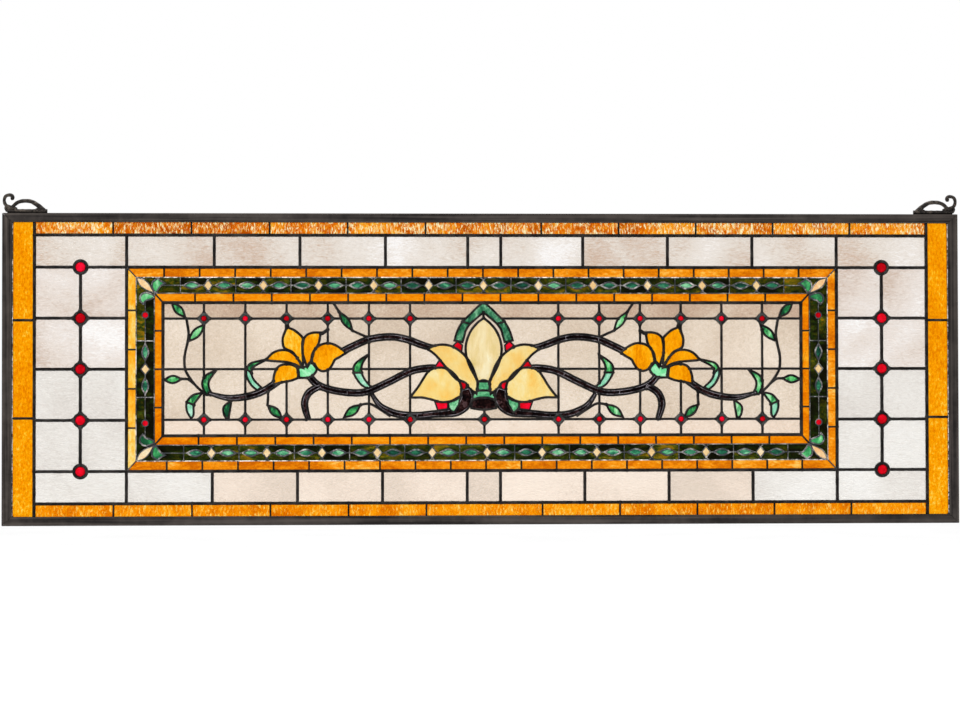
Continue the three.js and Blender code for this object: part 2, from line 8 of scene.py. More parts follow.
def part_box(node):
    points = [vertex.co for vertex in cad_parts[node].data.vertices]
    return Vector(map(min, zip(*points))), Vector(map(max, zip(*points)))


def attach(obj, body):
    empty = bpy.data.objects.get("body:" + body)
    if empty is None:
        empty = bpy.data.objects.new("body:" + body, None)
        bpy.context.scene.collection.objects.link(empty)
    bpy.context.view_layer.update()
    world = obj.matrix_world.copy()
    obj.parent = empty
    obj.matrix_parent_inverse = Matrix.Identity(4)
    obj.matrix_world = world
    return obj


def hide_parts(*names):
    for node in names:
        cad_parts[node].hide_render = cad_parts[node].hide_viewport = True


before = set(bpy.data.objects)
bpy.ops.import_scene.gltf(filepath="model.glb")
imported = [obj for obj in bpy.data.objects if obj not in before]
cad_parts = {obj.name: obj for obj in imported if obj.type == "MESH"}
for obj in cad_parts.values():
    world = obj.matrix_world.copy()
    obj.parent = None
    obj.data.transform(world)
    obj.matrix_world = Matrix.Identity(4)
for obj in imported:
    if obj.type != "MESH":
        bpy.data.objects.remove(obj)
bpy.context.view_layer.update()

# Drawings are in millimetres from the middle of the panel: x to the right, z up, and n towards the
# front. Blender's own metres appear only where a point is placed.
MM = 0.001
randomly = random.Random(7)


# Places read from the frame

def low_high(node):
    """The lowest and highest corners of a CAD node, in millimetres."""
    low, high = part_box(node)
    return low / MM, high / MM


PANEL_MIDDLE = (low_high("rail_bottom")[0].z + low_high("rail_top")[1].z) / 2


def place(x, z, n):
    """A point of the drawing, in the row frame in metres."""
    return Vector((x * MM, -n * MM, (z + PANEL_MIDDLE) * MM))


def half_size(side_node, top_node):
    return low_high(side_node)[1].x, low_high(top_node)[1].z - PANEL_MIDDLE


# How far glass reaches under its leads, and how far its faces are from the panel's middle plane
GLASS_HOLD = 0.9
GLASS_FACE = 1.5


def lead_line(side_node, top_node):
    """Half width and half height of the lead line that holds the outer edge of some glass."""
    half_x, half_z = half_size(side_node, top_node)
    return half_x + GLASS_HOLD, half_z + GLASS_HOLD


def is_beyond(x, z, line, margin=0.0):
    """Whether a place is outside a rectangle, which is given by its half width and half height."""
    return abs(x) > line[0] + margin or abs(z) > line[1] + margin


OUTSIDE = half_size("rail_right", "rail_top")
SIGHT = (low_high("rail_right")[0].x, low_high("rail_top")[0].z - PANEL_MIDDLE)
SHEET = half_size("amber_glass_right", "amber_glass_right")
AMBER_LINE = lead_line("clear_border_glass", "clear_border_glass")
CLEAR_LINE = lead_line("outer_gold_line_right", "outer_gold_line_top")
BAND_OUTER_LINE = lead_line("green_band", "green_band")
BAND_INNER_LINE = lead_line("inner_gold_line_right", "inner_gold_line_top")
FIELD_LINE = lead_line("field_glass", "field_glass")

JEWEL_X = sum(corner.x for corner in low_high("jewel_right_1")) / 2
JEWEL_ROWS = [
    sum(corner.z for corner in low_high(f"jewel_right_{row}")) / 2 - PANEL_MIDDLE for row in range(1, 6)
]

# Widths of the leads, and how far they and the solder stand up
MAIN_LEAD = 3.0
CLEAR_LEAD = 2.9
GRID_LEAD = 2.3
TILE_LEAD = 1.7
BAND_LEAD = 1.2
PETAL_LEAD = 2.4
LEAF_LEAD = 2.1
STEM_LEAD = 2.5
VINE_EDGE_LEAD = 1.7
VINE_GLINT_LEAD = 0.8
LENS_LEAD = 1.8
RED_LEAD = 1.6
AMBER_SIDE_LEAD = 2.4
SIGHT_LEAD = 1.1
VINE_WIDTH = 7.3
LEAD_RISE = 0.95
LEAD_BASE = GLASS_FACE - 0.1
SOLDER_RISE = 1.1

# Spacing of tiles and panes, and how far the rows of the top and the bottom are shifted to the right
AMBER_CENTRE_TILE = 109.4
AMBER_TILE = 73.3
AMBER_SHIFTS = 0.0, 0.65
AMBER_SHORTEST_END = 20
GOLD_SHORTEST_END = 10
CLEAR_TOP_PLACES = [15.6, 93.2, 173.6, 254.0]
CLEAR_BOTTOM_PLACES = [15.7, 95.4, 175.2, 255.0]
CLEAR_SHIFTS = 0.75, 0.0
OUTER_GOLD_TILE = 33.3
OUTER_GOLD_SIDE_TILE = 36.8
OUTER_GOLD_SHIFTS = -0.5, 2.15
INNER_GOLD_TILE = 35.9
INNER_GOLD_SIDE_TILE = 36.0
INNER_GOLD_SHIFTS = -1.95, 1.4
DIAMOND_PITCH = 51.8
BAND_SHIFTS = {1: 0.0, -1: 3.2}
GRID_SHIFT = 0.65
GRID_FIRST_COLUMN = 70.0
GRID_PITCH = 38.7
GRID_COLUMNS = 6
GRID_ROW = FIELD_LINE[1] - 15

# Jewels and their bosses
JEWEL_RADIUS = 4.8
JEWEL_HEIGHT = 2.3
JEWEL_BASE = GLASS_FACE - 0.8
BOSS_RADIUS = 7.5
BOSS_RISE = 1.35
POINTED_BOSS_RADIUS = 7.1
POINTED_BOSS_REACH = 9.9
BOSS_CUT_RADIUS = 6.2
SMALL_JEWEL_RADIUS = 2.6
SMALL_JEWEL_HEIGHT = 1.9
SMALL_JEWEL_BASE = GLASS_FACE - 0.6
SMALL_BOSS = 6.8
SMALL_BOSS_RISE = 1.25
SMALL_BOSS_ROUNDNESS = 1.12
SMALL_BOSS_CUT = 5.6
BOSS_OVERLAP = 0.2

# Finest steps of curves and of lead
CURVE_STEPS = 6
LENS_STEPS = 14
LENS_FULLNESS = 1.15
CORNER_TURN = math.radians(52)
LEAD_STEP = 2.5
LEAD_SIDES = 6


# Outlines and lines

SIDES = 1, -1
CORNERS = [(sx, sz) for sx in SIDES for sz in SIDES]


def mirror(points):
    return [(-x, z) for x, z in points]


def mirrored(lines):
    """Each line, followed by its mirror image."""
    return [side for line in lines for side in (line, mirror(line))]


def unit(a, b):
    length = math.hypot(b[0] - a[0], b[1] - a[1])
    if length == 0:
        return 0.0, 0.0
    return (b[0] - a[0]) / length, (b[1] - a[1]) / length


def turn(before, point, after):
    """The angle through which a line turns at a point."""
    into, out = unit(before, point), unit(point, after)
    return abs(math.atan2(into[0] * out[1] - into[1] * out[0], into[0] * out[0] + into[1] * out[1]))


def curve_between(before, start, end, after):
    """Points of a smooth curve from start up to end, which leaves out end itself."""
    points = []
    for step in range(CURVE_STEPS):
        t = step / CURVE_STEPS
        weights = (
            (-t + 2 * t * t - t ** 3) / 2, (2 - 5 * t * t + 3 * t ** 3) / 2,
            (t + 4 * t * t - 3 * t ** 3) / 2, (t ** 3 - t * t) / 2,
        )
        corners = (before, start, end, after)
        points.append(tuple(sum(w * c[axis] for w, c in zip(weights, corners)) for axis in (0, 1)))
    return points


def smooth(points, closed=False):
    """A smooth line through points, which stays sharp where it turns sharply."""
    count = len(points)

    def is_corner(i):
        if not closed and i in (0, count - 1):
            return True
        return turn(points[i - 1], points[i], points[(i + 1) % count]) > CORNER_TURN

    line = []
    for i in range(count if closed else count - 1):
        start, end = points[i], points[(i + 1) % count]
        before = start if is_corner(i) else points[i - 1]
        after = end if is_corner((i + 1) % count) else points[(i + 2) % count]
        line += curve_between(before, start, end, after)
    return line if closed else line + [points[-1]]


LONGEST_MITRE = 2
SMALLEST_COSINE = 1e-6


def shifted(before, point, after, distance):
    """A corner moved to its right, with long mitres held to twice the distance."""
    into, out = unit(before, point), unit(point, after)
    bisector = unit((0, 0), (into[0] + out[0], into[1] + out[1]))
    cosine = max(bisector[0] * out[0] + bisector[1] * out[1], SMALLEST_COSINE)
    mitre = min(1 / cosine, LONGEST_MITRE)
    return point[0] + bisector[1] * mitre * distance, point[1] - bisector[0] * mitre * distance


def around(corners):
    """Each corner together with the one that follows it, up to the first again."""
    return zip(corners, corners[1:] + corners[:1])


def signed_area(points):
    return sum(a[0] * b[1] - b[0] * a[1] for a, b in around(points)) / 2


def grow(points, distance):
    outwards = distance if signed_area(points) > 0 else -distance
    count = len(points)
    return [shifted(points[i - 1], points[i], points[(i + 1) % count], outwards) for i in range(count)]


def neighbours(line, i, closed=False):
    """The points before and after one point of a line, made up beyond the ends of an open one."""
    (x, z), count = line[i], len(line)
    before = line[i - 1] if closed or i else (2 * x - line[1][0], 2 * z - line[1][1])
    has_next = closed or i < count - 1
    after = line[(i + 1) % count] if has_next else (2 * x - line[-2][0], 2 * z - line[-2][1])
    return before, after


def spread_along(values, count):
    """Values given at even distances along a line, for each of its count points."""
    spread = []
    for i in range(count):
        position = i * (len(values) - 1) / (count - 1)
        low = min(int(position), len(values) - 2)
        spread.append(values[low] + (values[low + 1] - values[low]) * (position - low))
    return spread


def strip(points, widths):
    """The outline of a strip that follows a line, with its width at each point."""
    edges = []
    for sign in SIDES:
        edge = []
        for i, (point, width) in enumerate(zip(points, widths)):
            before, after = neighbours(points, i)
            edge.append(shifted(before, point, after, sign * width / 2))
        edges.append(edge)
    return edges[0] + edges[1][::-1]


def circle(x, z, radius, count=24):
    angles = [2 * math.pi * i / count for i in range(count)]
    return [(x + radius * math.cos(a), z + radius * math.sin(a)) for a in angles]


def rhombus(x, z, half_x, half_z):
    return [(x - half_x, z), (x, z - half_z), (x + half_x, z), (x, z + half_z)]


def rectangle(half_x, half_z):
    return [(-half_x, -half_z), (half_x, -half_z), (half_x, half_z), (-half_x, half_z)]


def lens(a, b, width, lean=0.0):
    """A leaf between two tips. Its widest place leans from the middle towards b."""
    along, length = unit(a, b), math.hypot(b[0] - a[0], b[1] - a[1])
    side = (-along[1], along[0])
    there, back = [a], []
    for step in range(1, LENS_STEPS):
        share = step / LENS_STEPS
        distance = (share + lean * math.sin(math.pi * share)) * length
        half = width / 2 * math.sin(math.pi * share) ** LENS_FULLNESS
        spot = (a[0] + along[0] * distance, a[1] + along[1] * distance)
        there.append((spot[0] + side[0] * half, spot[1] + side[1] * half))
        back.append((spot[0] - side[0] * half, spot[1] - side[1] * half))
    return there + [b] + back[::-1]


class Shape:
    """A closed outline with a name and a kind of glass."""

    def __init__(self, name, kind, outline):
        self.name, self.kind, self.outline = name, kind, outline
        xs, zs = [p[0] for p in outline], [p[1] for p in outline]
        self.box = min(xs), max(xs), min(zs), max(zs)

    def holds(self, x, z):
        if not (self.box[0] <= x <= self.box[1] and self.box[2] <= z <= self.box[3]):
            return False
        inside = False
        for (ax, az), (bx, bz) in around(self.outline):
            if (az > z) != (bz > z) and x < ax + (z - az) / (bz - az) * (bx - ax):
                inside = not inside
        return inside


def shapes_of(name, kind, outlines):
    return [Shape(name, kind, outline) for outline in outlines]


class Lead:
    """One line of lead: the points it runs through, its widths at its two ends, and its group."""

    def __init__(self, points, width, group, closed=False, end_width=None):
        self.points, self.group, self.closed = points, group, closed
        self.width, self.end_width = width, width if end_width is None else end_width


def leads_of(lines, width, group, closed=False):
    return [Lead(line, width, group, closed) for line in lines]


def finely(points, closed, step):
    """The same line with no two points further apart than a step."""
    corners = points + points[:1] if closed else points
    line = []
    for a, b in zip(corners, corners[1:]):
        count = max(1, math.ceil(math.hypot(b[0] - a[0], b[1] - a[1]) / step))
        line += [(a[0] + (b[0] - a[0]) * i / count, a[1] + (b[1] - a[1]) * i / count) for i in range(count)]
    return line if closed else line + [points[-1]]


CLIP_STEP = 0.6
SHORTEST_LEAD = 1.5


def clipped(lead, shapes):
    """The parts of a lead that run outside all the shapes."""
    near = [shape for shape in shapes if shape.outline is not lead.points]
    line = finely(lead.points, lead.closed, CLIP_STEP)
    shown = [not any(shape.holds(x, z) for shape in near) for x, z in line]
    if all(shown):
        return [lead]
    if lead.closed:
        start = shown.index(False)
        line, shown = line[start:] + line[:start], shown[start:] + shown[:start]
    runs, run = [], []
    for point, is_shown in zip(line, shown):
        if is_shown:
            run.append(point)
        elif run:
            runs.append(run)
            run = []
    runs.append(run)
    return [Lead(run, lead.width, lead.group) for run in runs if len(run) * CLIP_STEP > SHORTEST_LEAD]


# The middle picture: glass outlines of its right-hand side

LOTUS_CENTRE_HALF = [
    (4.6, -10.6), (8.4, -4.2), (12.8, 4.7), (15.5, 14.4), (15.3, 24), (11.4, 34.5), (5.7, 41.8), (0, 46.5),
]
LOTUS_CENTRE = LOTUS_CENTRE_HALF + mirror(LOTUS_CENTRE_HALF)[-2::-1]
LOTUS_INNER = [
    (50.6, 18.7), (44.5, 21.1), (36.4, 21.6), (28.3, 19.2), (20.3, 13.5), (13.8, 5.5), (9.8, -3.4),
    (6.9, -13.9), (7.7, -21.2), (13, -17.1), (16.2, -12.3), (21.9, -9.9), (25.1, -8.7), (30.8, -2.6),
    (37.2, 5.5), (44.5, 13.9),
]
LOTUS_OUTER = [
    (67.1, -25.8), (60.6, -17.4), (55, -8.3), (50.6, -2.6), (44.5, -0.2), (36.4, -0.5), (29.6, -4.5),
    (24.3, -11.5), (22.2, -18.7), (22.8, -25.2), (29.2, -28.8), (39.6, -30.1), (49.3, -27.6), (58.2, -25.7),
]
ARCH_LEG = [
    (5.7, 57), (13.8, 49), (19.5, 43.2), (23.8, 35.3), (26.2, 27.6), (20.6, 26.4), (19.2, 31.3),
    (17.6, 37), (13.4, 43.2), (5.7, 50),
]
ARCH = [(0, 61.9), *ARCH_LEG, (0, 54.7), *mirror(ARCH_LEG)[::-1]]
CALYX_DOME_HALF = [(5, -19.4), (4.9, -15.4), (3.2, -12.6)]
CALYX_DOME = [*CALYX_DOME_HALF, (0, -11.6), *mirror(CALYX_DOME_HALF)[::-1]]
CALYX_ARC_HALF = [(9.6, -28), (8.8, -24.2), (5, -21.8)]
CALYX_FOOT = [(-5, -26.6), (0, -26.2), (5, -26.6)]
CALYX_ARC = [*CALYX_ARC_HALF, (0, -21.2), *mirror(CALYX_ARC_HALF)[::-1], *CALYX_FOOT]
SADDLE_HALF = [(5, -28.4), (10.6, -30.2), (10.6, -36.2)]
SADDLE = [(0, -28), *SADDLE_HALF, (0, -37.6), *mirror(SADDLE_HALF)[::-1]]

FLOWER = {
    "upright": [
        (184.5, 37.7), (187.6, 29.9), (187.8, 24.3), (186.4, 20.6), (179.2, 16.9), (174.2, 10.7),
        (171, 4.8), (171.5, 13.2), (171.5, 21.9), (171, 28), (175.5, 33), (179.8, 36.1),
    ],
    "inner": [
        (154.8, 33.2), (155.9, 26.8), (157.1, 23.1), (160.6, 17.5), (162.5, 10.7), (165.8, 4.2),
        (169, 14.4), (169.5, 21.9), (169, 26.8), (165.6, 31.1), (160.6, 33),
    ],
    "lying": [
        (131.5, 15.4), (138.3, 20.4), (145.7, 23.1), (153.2, 21.6), (158.1, 17.5), (160.6, 12),
        (160, 6.4), (155.9, 1.4), (151.3, -0.8), (146.4, 0.8), (143, 5.8), (140.8, 9.7), (135.8, 12.6),
    ],
    "outer": [
        (202.7, 9.2), (197.7, 14.2), (191.6, 16.5), (184.7, 16.3), (179.8, 13.4), (175.5, 8.5),
        (171.6, 2.6), (177.9, 5.8), (185.4, 7.8), (194, 8.5),
    ],
    "hanging": [
        (196.5, -12.8), (196.1, -6.6), (193.4, 0.2), (188.5, 3), (181.9, 3), (176.9, 0.8),
        (175.2, -3.5), (176, -7.6), (181.6, -9.7), (190.3, -11.3),
    ],
    "calyx": [
        (173.6, 0.2), (166.5, 1.4), (163.7, 4.5), (160, 3.9), (158.4, -0.2), (160.6, -4.1),
        (165.6, -6.9), (172.4, -7), (173.8, -3.1),
    ],
}

VINES = [
    (
        [
            (133, 16.5), (121.1, 22.4), (107, 28.1), (88.2, 30.3), (73.1, 28), (59, 22.9),
            (51, 20.6), (44, 20.8),
        ],
        [1, 1, 1, 1, 1, 1, 0.9, 0.5],
    ),
    (
        [
            (164.5, -6), (157.8, -13.6), (146.1, -18.9), (128.7, -22), (111, -21.5), (91, -13),
            (76.9, -5.9), (65.6, -1.2), (54, 0.6), (46, 0.6), (41, -1),
        ],
        [1] * 10 + [0.8],
    ),
    (
        [
            (107, -21), (98.5, -33.7), (87.6, -40.4), (76.9, -43.2), (62.4, -43.9), (48, -42.5),
            (34, -41.6), (26, -39.4), (19.2, -34), (15.8, -26.5), (17.6, -18.4),
        ],
        [0.5, 0.8, 1, 1, 1, 1, 1.15, 1.5, 1.8, 1.85, 1.4],
    ),
    ([(192, -10.5), (207.7, -20.8), (223.6, -25.9), (241, -27), (258.8, -22.4)], [1, 1, 1, 0.85, 0.5]),
    ([(153, -15.5), (164.3, -22), (168.6, -33), (165, -47.5)], [0.9, 1.0, 1.0, 0.75]),
]

RED_PIECES = {
    "arch_foot": [(28.2, 21.4), (24.4, 25), (20.8, 22), (21.4, 17.6)],
    "between_petals": [(45.2, 1.6), (41.9, 6.6), (39.9, 7.2), (36.8, 1.4)],
    "under_inner_petal": [(23.2, -11.2), (18.8, -10.8), (16.2, -15.2), (18.4, -18.8), (22.6, -17.8)],
    "under_outer_petal": [(45, -31.4), (34.2, -31.4), (34.8, -37), (42.8, -38)],
}
GREEN_SCRAP = [(32.6, -32.6), (22.9, -27), (24.3, -33.3), (28.3, -39.7), (31.9, -37.3)]

# Leaves between two tips, with their widths
LEAVES = [
    ((293, 62.5), (280.4, 48.9), 6.6), ((277.3, 26.1), (262.3, 42), 7),
    ((300.2, -10.1), (283.7, -9.2), 6.8), ((203.2, -34), (189.8, -46), 6.8),
    ((131.7, -45.4), (115.9, -33.7), 7.2), ((136.2, 54), (123.5, 36.1), 6.2),
]

# Curved leaves: their outer and inner edges, and whether a lead crosses them
CRESCENTS = [
    (
        [(250.8, -0.6), (261.6, -6.4), (264.5, -14.9), (260.7, -24.3)],
        [(254.5, -24.3), (257.9, -18), (257.9, -10.7)], False,
    ),
    (
        [(264.5, -22.4), (273.1, -24.3), (278.8, -30.9), (278.8, -38.9), (275.2, -46)],
        [(272.7, -43.2), (272.3, -33.7), (268.8, -28.1)], True,
    ),
    ([(237.3, -29.5), (244.3, -35.3), (244.3, -41.8), (242.3, -46)], [(239.7, -45.4), (237.9, -35.3)], False),
    (
        [(202, 9.7), (212.1, 7.5), (219.3, 5.3), (222.8, 0.2), (222.8, -6.9), (218.6, -14.9), (212.8, -19.9)],
        [(209.2, -17), (215.8, -10.5), (218.2, -4), (215.8, 2.5)], True,
    ),
    (
        [(108.7, 13.8), (120.8, 5.1), (122.4, -3.5), (115.9, -14.3), (107.2, -19.4)],
        [(105.1, -18), (111.5, -10.7), (114.8, -3.5), (114.4, 4.5)], True,
    ),
]

ARCH_JOINT = [(19.4, 44.4), (13.4, 42.8)]
PETAL_TAIL = [(155.8, 32.4), (151.6, 33.8), (147.2, 36.8)]
PETAL_TAIL_WIDTHS = 3.4, 1.8
PETAL_KNOT = [(184.9, 39.4), (185.7, 46.5)]
PETAL_KNOT_WIDTHS = 5.2, 2.6
VINE_JOINTS = [
    [(108.9, 26.2), (108.1, 30.2)], [(78.1, 27.2), (77.2, 31.2)], [(128.3, -24), (128.7, -20)],
    [(75, -7), (77, -3.6)], [(62.9, -45.6), (62.6, -42)], [(223.2, -27.8), (223.8, -24)],
]

STEMS = [
    [
        (279.5, 48.4), (277.3, 34.8), (278, 26.1), (280.9, 12.5), (280.6, 0.8), (277.3, -6.4),
        (270.2, -15.8), (262, -23.4),
    ],
    [(283.7, -9.2), (277.5, -9.7), (271.4, -14.6)],
    [(203, -19), (202.8, -27), (203.4, -34.7)],
    [(115.9, -33.7), (107.2, -32.8), (98.5, -37.5), (87.6, -44.7)],
    [(141.4, 62), (136.2, 54)],
    [(123.5, 36.1), (110.8, 30.4)],
]


def both_sides(name, kind, outline):
    return [Shape(f"{name}_right", kind, outline), Shape(f"{name}_left", kind, mirror(outline))]


def glass_shape(name, kind, points, lead=PETAL_LEAD):
    """A shape of the picture, out to the middle of the lead that holds it."""
    return Shape(name, kind, grow(smooth(points, closed=True), lead / 2))


def glass_pair(name, kind, points):
    """A shape and its mirror image, with the side put into the name."""
    sides = (("right", points), ("left", mirror(points)))
    return [glass_shape(name.format(side), kind, line) for side, line in sides]


def lotus_shapes():
    return [
        glass_shape("lotus_petal_centre", "petal_centre", LOTUS_CENTRE),
        *glass_pair("lotus_petal_inner_{}", "petal_inner", LOTUS_INNER),
        *glass_pair("lotus_petal_outer_{}", "petal_outer", LOTUS_OUTER),
        glass_shape("lotus_arch", "arch_green", ARCH, LEAF_LEAD),
        glass_shape("lotus_calyx", "calyx_green", CALYX_DOME, LEAF_LEAD),
        glass_shape("lotus_calyx", "calyx_green", CALYX_ARC, LEAF_LEAD),
        glass_shape("lotus_saddle", "black", SADDLE, LEAF_LEAD),
    ]


def flower_shapes():
    shapes = []
    for part, points in FLOWER.items():
        shapes += glass_pair("flower_{}_" + part, "mint" if part == "calyx" else "orange", points)
    return shapes


def small_picture_shapes():
    shapes = []
    for points in RED_PIECES.values():
        shapes += both_sides("red_pieces", "red", grow(points, RED_LEAD / 2))
    return shapes + both_sides("green_scraps", "calyx_green", grow(GREEN_SCRAP, LEAF_LEAD / 2))


def vine_shapes():
    shapes = []
    for points, shares in VINES:
        line = smooth(points)
        widths = [share * VINE_WIDTH - VINE_EDGE_LEAD for share in spread_along(shares, len(line))]
        shapes += both_sides("vines", "black", strip(line, widths))
    return shapes


def leaf_shapes():
    shapes = []
    for a, b, width in LEAVES:
        shapes += both_sides("leaves", "leaf", lens(a, b, width))
    for outer, inner, _ in CRESCENTS:
        shapes += both_sides("leaves", "leaf", smooth(outer + inner, closed=True))
    return shapes


def pale_halves():
    """The lower halves of the long curved leaves, which are of paler glass."""
    shapes = []
    for outer, inner, is_split in CRESCENTS:
        if is_split:
            lower = outer[len(outer) // 2:] + inner[:len(inner) // 2 + 1]
            shapes += both_sides("pale_leaves", "pale_leaf", lower)
    return shapes


def vine_glints():
    """Painted highlights as bright beads just inside the edges of the vines, and short leads across them in
    the same bright colour.
    """
    inset = (VINE_EDGE_LEAD + VINE_GLINT_LEAD) / 2
    edges = [grow(vine.outline, -inset) for vine in vine_shapes()]
    glints = leads_of(edges, VINE_GLINT_LEAD, "vine_glints", closed=True)
    return glints + leads_of(mirrored(VINE_JOINTS), VINE_GLINT_LEAD, "vine_glints")


MITRE_START = 1
MITRE_END = 2


def rail_leads():
    """Lead behind the mitres of the frame, and a painted highlight line along the two upright sight edges."""
    leads = []
    for sx in SIDES:
        for sz in SIDES:
            inner = (sx * (SIGHT[0] - MITRE_START), sz * (SIGHT[1] - MITRE_START))
            outer = (sx * (OUTSIDE[0] - MITRE_END), sz * (OUTSIDE[1] - MITRE_END))
            leads.append(Lead([inner, outer], MAIN_LEAD, "borders"))
        edge = sx * (SIGHT[0] - SIGHT_LEAD / 2)
        leads.append(Lead([(edge, -SIGHT[1]), (edge, SIGHT[1])], SIGHT_LEAD, "painted_highlight_lines"))
    return leads


def crescent_bars():
    """The short leads that cross the long curved leaves."""
    split = [(outer, inner) for outer, inner, is_split in CRESCENTS if is_split]
    return [[outer[len(outer) // 2], inner[len(inner) // 2]] for outer, inner in split]


# Places of what repeats

def steps(first, step, limit):
    places = []
    while first < limit:
        places.append(first)
        first += step
    return places


def both(places):
    return [sign * p for p in places for sign in (SIDES if p else (1,))]


def row(places, shift=0.0):
    return [p + shift for p in both(places)]


GRID_COLUMN_PLACES = row([GRID_FIRST_COLUMN + i * GRID_PITCH for i in range(GRID_COLUMNS)], GRID_SHIFT)
SMALL_JEWELS = [(x, sign * GRID_ROW) for x in GRID_COLUMN_PLACES for sign in SIDES]
SMALL_JEWELS.append((GRID_SHIFT, -GRID_ROW))
LARGE_JEWELS = [(side * JEWEL_X, z, row) for side in SIDES for row, z in enumerate(JEWEL_ROWS)]
BAND_TOP = (BAND_OUTER_LINE[1] + BAND_INNER_LINE[1]) / 2
BAND_SIDE = (BAND_OUTER_LINE[0] + BAND_INNER_LINE[0]) / 2


# Leads of the borders

def frame_lead(line, width, group):
    return Lead(rectangle(*line), width, group, closed=True)


def cross_bars(outer, inner, rows, side_places, width, group="borders"):
    """Bars between two lead lines: rows are their places along the top and along the bottom."""
    bars = []
    for sign, places in zip(SIDES, rows):
        bars += [[(x, sign * outer[1]), (x, sign * inner[1])] for x in places]
    for sign in SIDES:
        bars += [[(sign * outer[0], z), (sign * inner[0], z)] for z in both(side_places)]
    return leads_of(bars, width, group)


def mitre_bars(outer, inner, width, group):
    bars = [[(sx * outer[0], sz * outer[1]), (sx * inner[0], sz * inner[1])] for sx, sz in CORNERS]
    return leads_of(bars, width, group)


def tile_rows(places, shifts):
    """The same places along the top and along the bottom, each row with its shift."""
    return [row(places, shift) for shift in shifts]


def pane_rows():
    """Places of the leads between the clear panes, with those that end the rows."""
    ends = both([CLEAR_LINE[0]])
    rows = zip((CLEAR_TOP_PLACES, CLEAR_BOTTOM_PLACES), CLEAR_SHIFTS)
    return [row(places, shift) + ends for places, shift in rows]


def border_leads():
    amber = steps(AMBER_CENTRE_TILE / 2, AMBER_TILE, AMBER_LINE[0] - AMBER_SHORTEST_END)
    outer_end, inner_end = BAND_OUTER_LINE[0] - GOLD_SHORTEST_END, FIELD_LINE[0] - GOLD_SHORTEST_END
    outer_gold = [0, *steps(OUTER_GOLD_TILE, OUTER_GOLD_TILE, outer_end)]
    outer_gold_sides = [OUTER_GOLD_SIDE_TILE / 2, OUTER_GOLD_SIDE_TILE * 1.5]
    inner_gold = steps(INNER_GOLD_TILE / 2, INNER_GOLD_TILE, inner_end)
    inner_gold_sides = [0, INNER_GOLD_SIDE_TILE]
    jewel_rows = [z for z in JEWEL_ROWS if z > -1]
    leads = [frame_lead(line, MAIN_LEAD, "borders") for line in (AMBER_LINE, CLEAR_LINE, FIELD_LINE)]
    leads += cross_bars(SIGHT, AMBER_LINE, tile_rows(amber, AMBER_SHIFTS), [], TILE_LEAD)
    leads += cross_bars(SIGHT, AMBER_LINE, [], [SIGHT[1] / 3], AMBER_SIDE_LEAD)
    leads += cross_bars(AMBER_LINE, CLEAR_LINE, pane_rows(), jewel_rows, CLEAR_LEAD)
    outer_rows = tile_rows(outer_gold, OUTER_GOLD_SHIFTS)
    leads += cross_bars(CLEAR_LINE, BAND_OUTER_LINE, outer_rows, outer_gold_sides, TILE_LEAD)
    inner_rows = tile_rows(inner_gold, INNER_GOLD_SHIFTS)
    leads += cross_bars(BAND_INNER_LINE, FIELD_LINE, inner_rows, inner_gold_sides, TILE_LEAD)
    leads += mitre_bars(CLEAR_LINE, BAND_OUTER_LINE, BAND_LEAD, "band")
    leads += mitre_bars(BAND_INNER_LINE, FIELD_LINE, TILE_LEAD, "borders")
    for sign in SIDES:
        jewel_line = [(sign * JEWEL_X, -CLEAR_LINE[1]), (sign * JEWEL_X, CLEAR_LINE[1])]
        leads.append(Lead(jewel_line, MAIN_LEAD, "borders"))
        for end in SIDES:
            corner = [(sign * AMBER_LINE[0], end * AMBER_LINE[1]), (sign * AMBER_LINE[0], end * SIGHT[1])]
            leads.append(Lead(corner, MAIN_LEAD, "borders"))
    return leads


# The dark band

DIAMOND_HALF_WIDTH = 4.2
DIAMOND_HALF_HEIGHT = 5.3
DIAMOND_FOOT = 3.2
DIAMOND_FOOT_LEAD = BAND_LEAD * 0.8
SIDE_DIVIDER = 26.5
LENS_WIDTH = 6.0
LENS_GAP = 3.0
CORNER_PETAL_WIDTH = 7.0
CORNER_PETAL_LEAN = -0.08
SIDE_JEWEL = 50.7
SIDE_JEWEL_RADIUS = SMALL_JEWEL_RADIUS + 0.5
BAND_MIDDLES = [0.0, *steps(DIAMOND_PITCH, DIAMOND_PITCH, BAND_INNER_LINE[0] - DIAMOND_PITCH / 2)]


def diamonds():
    places = [(x + BAND_SHIFTS[sign], sign * BAND_TOP) for x in both(BAND_MIDDLES) for sign in SIDES]
    places += [(BAND_SIDE, 0.0), (-BAND_SIDE, 0.0)]
    outlines = [rhombus(x, z, DIAMOND_HALF_WIDTH, DIAMOND_HALF_HEIGHT) for x, z in places]
    return shapes_of("band_diamonds", "diamond", outlines)


def side_jewel_shapes():
    outlines = [circle(sx * BAND_SIDE, sz * SIDE_JEWEL, SIDE_JEWEL_RADIUS, 12) for sx, sz in CORNERS]
    return shapes_of("band_jewels", "red", outlines)


def band_lenses():
    """Green lenses between each diamond and its dividers, along the top, bottom and sides."""
    start, reach = DIAMOND_HALF_WIDTH + LENS_GAP, DIAMOND_PITCH / 2 - LENS_GAP
    tips = []
    for middle in both(BAND_MIDDLES):
        for sign in SIDES:
            centre, z = middle + BAND_SHIFTS[sign], sign * BAND_TOP
            tips += [((centre + side * start, z), (centre + side * reach, z)) for side in SIDES]
    for sx, sz in CORNERS:
        low, high = DIAMOND_HALF_HEIGHT + LENS_GAP, SIDE_DIVIDER - LENS_GAP
        tips.append(((sx * BAND_SIDE, sz * low), (sx * BAND_SIDE, sz * high)))
    return shapes_of("band_lenses", "lens", [lens(a, b, LENS_WIDTH) for a, b in tips])


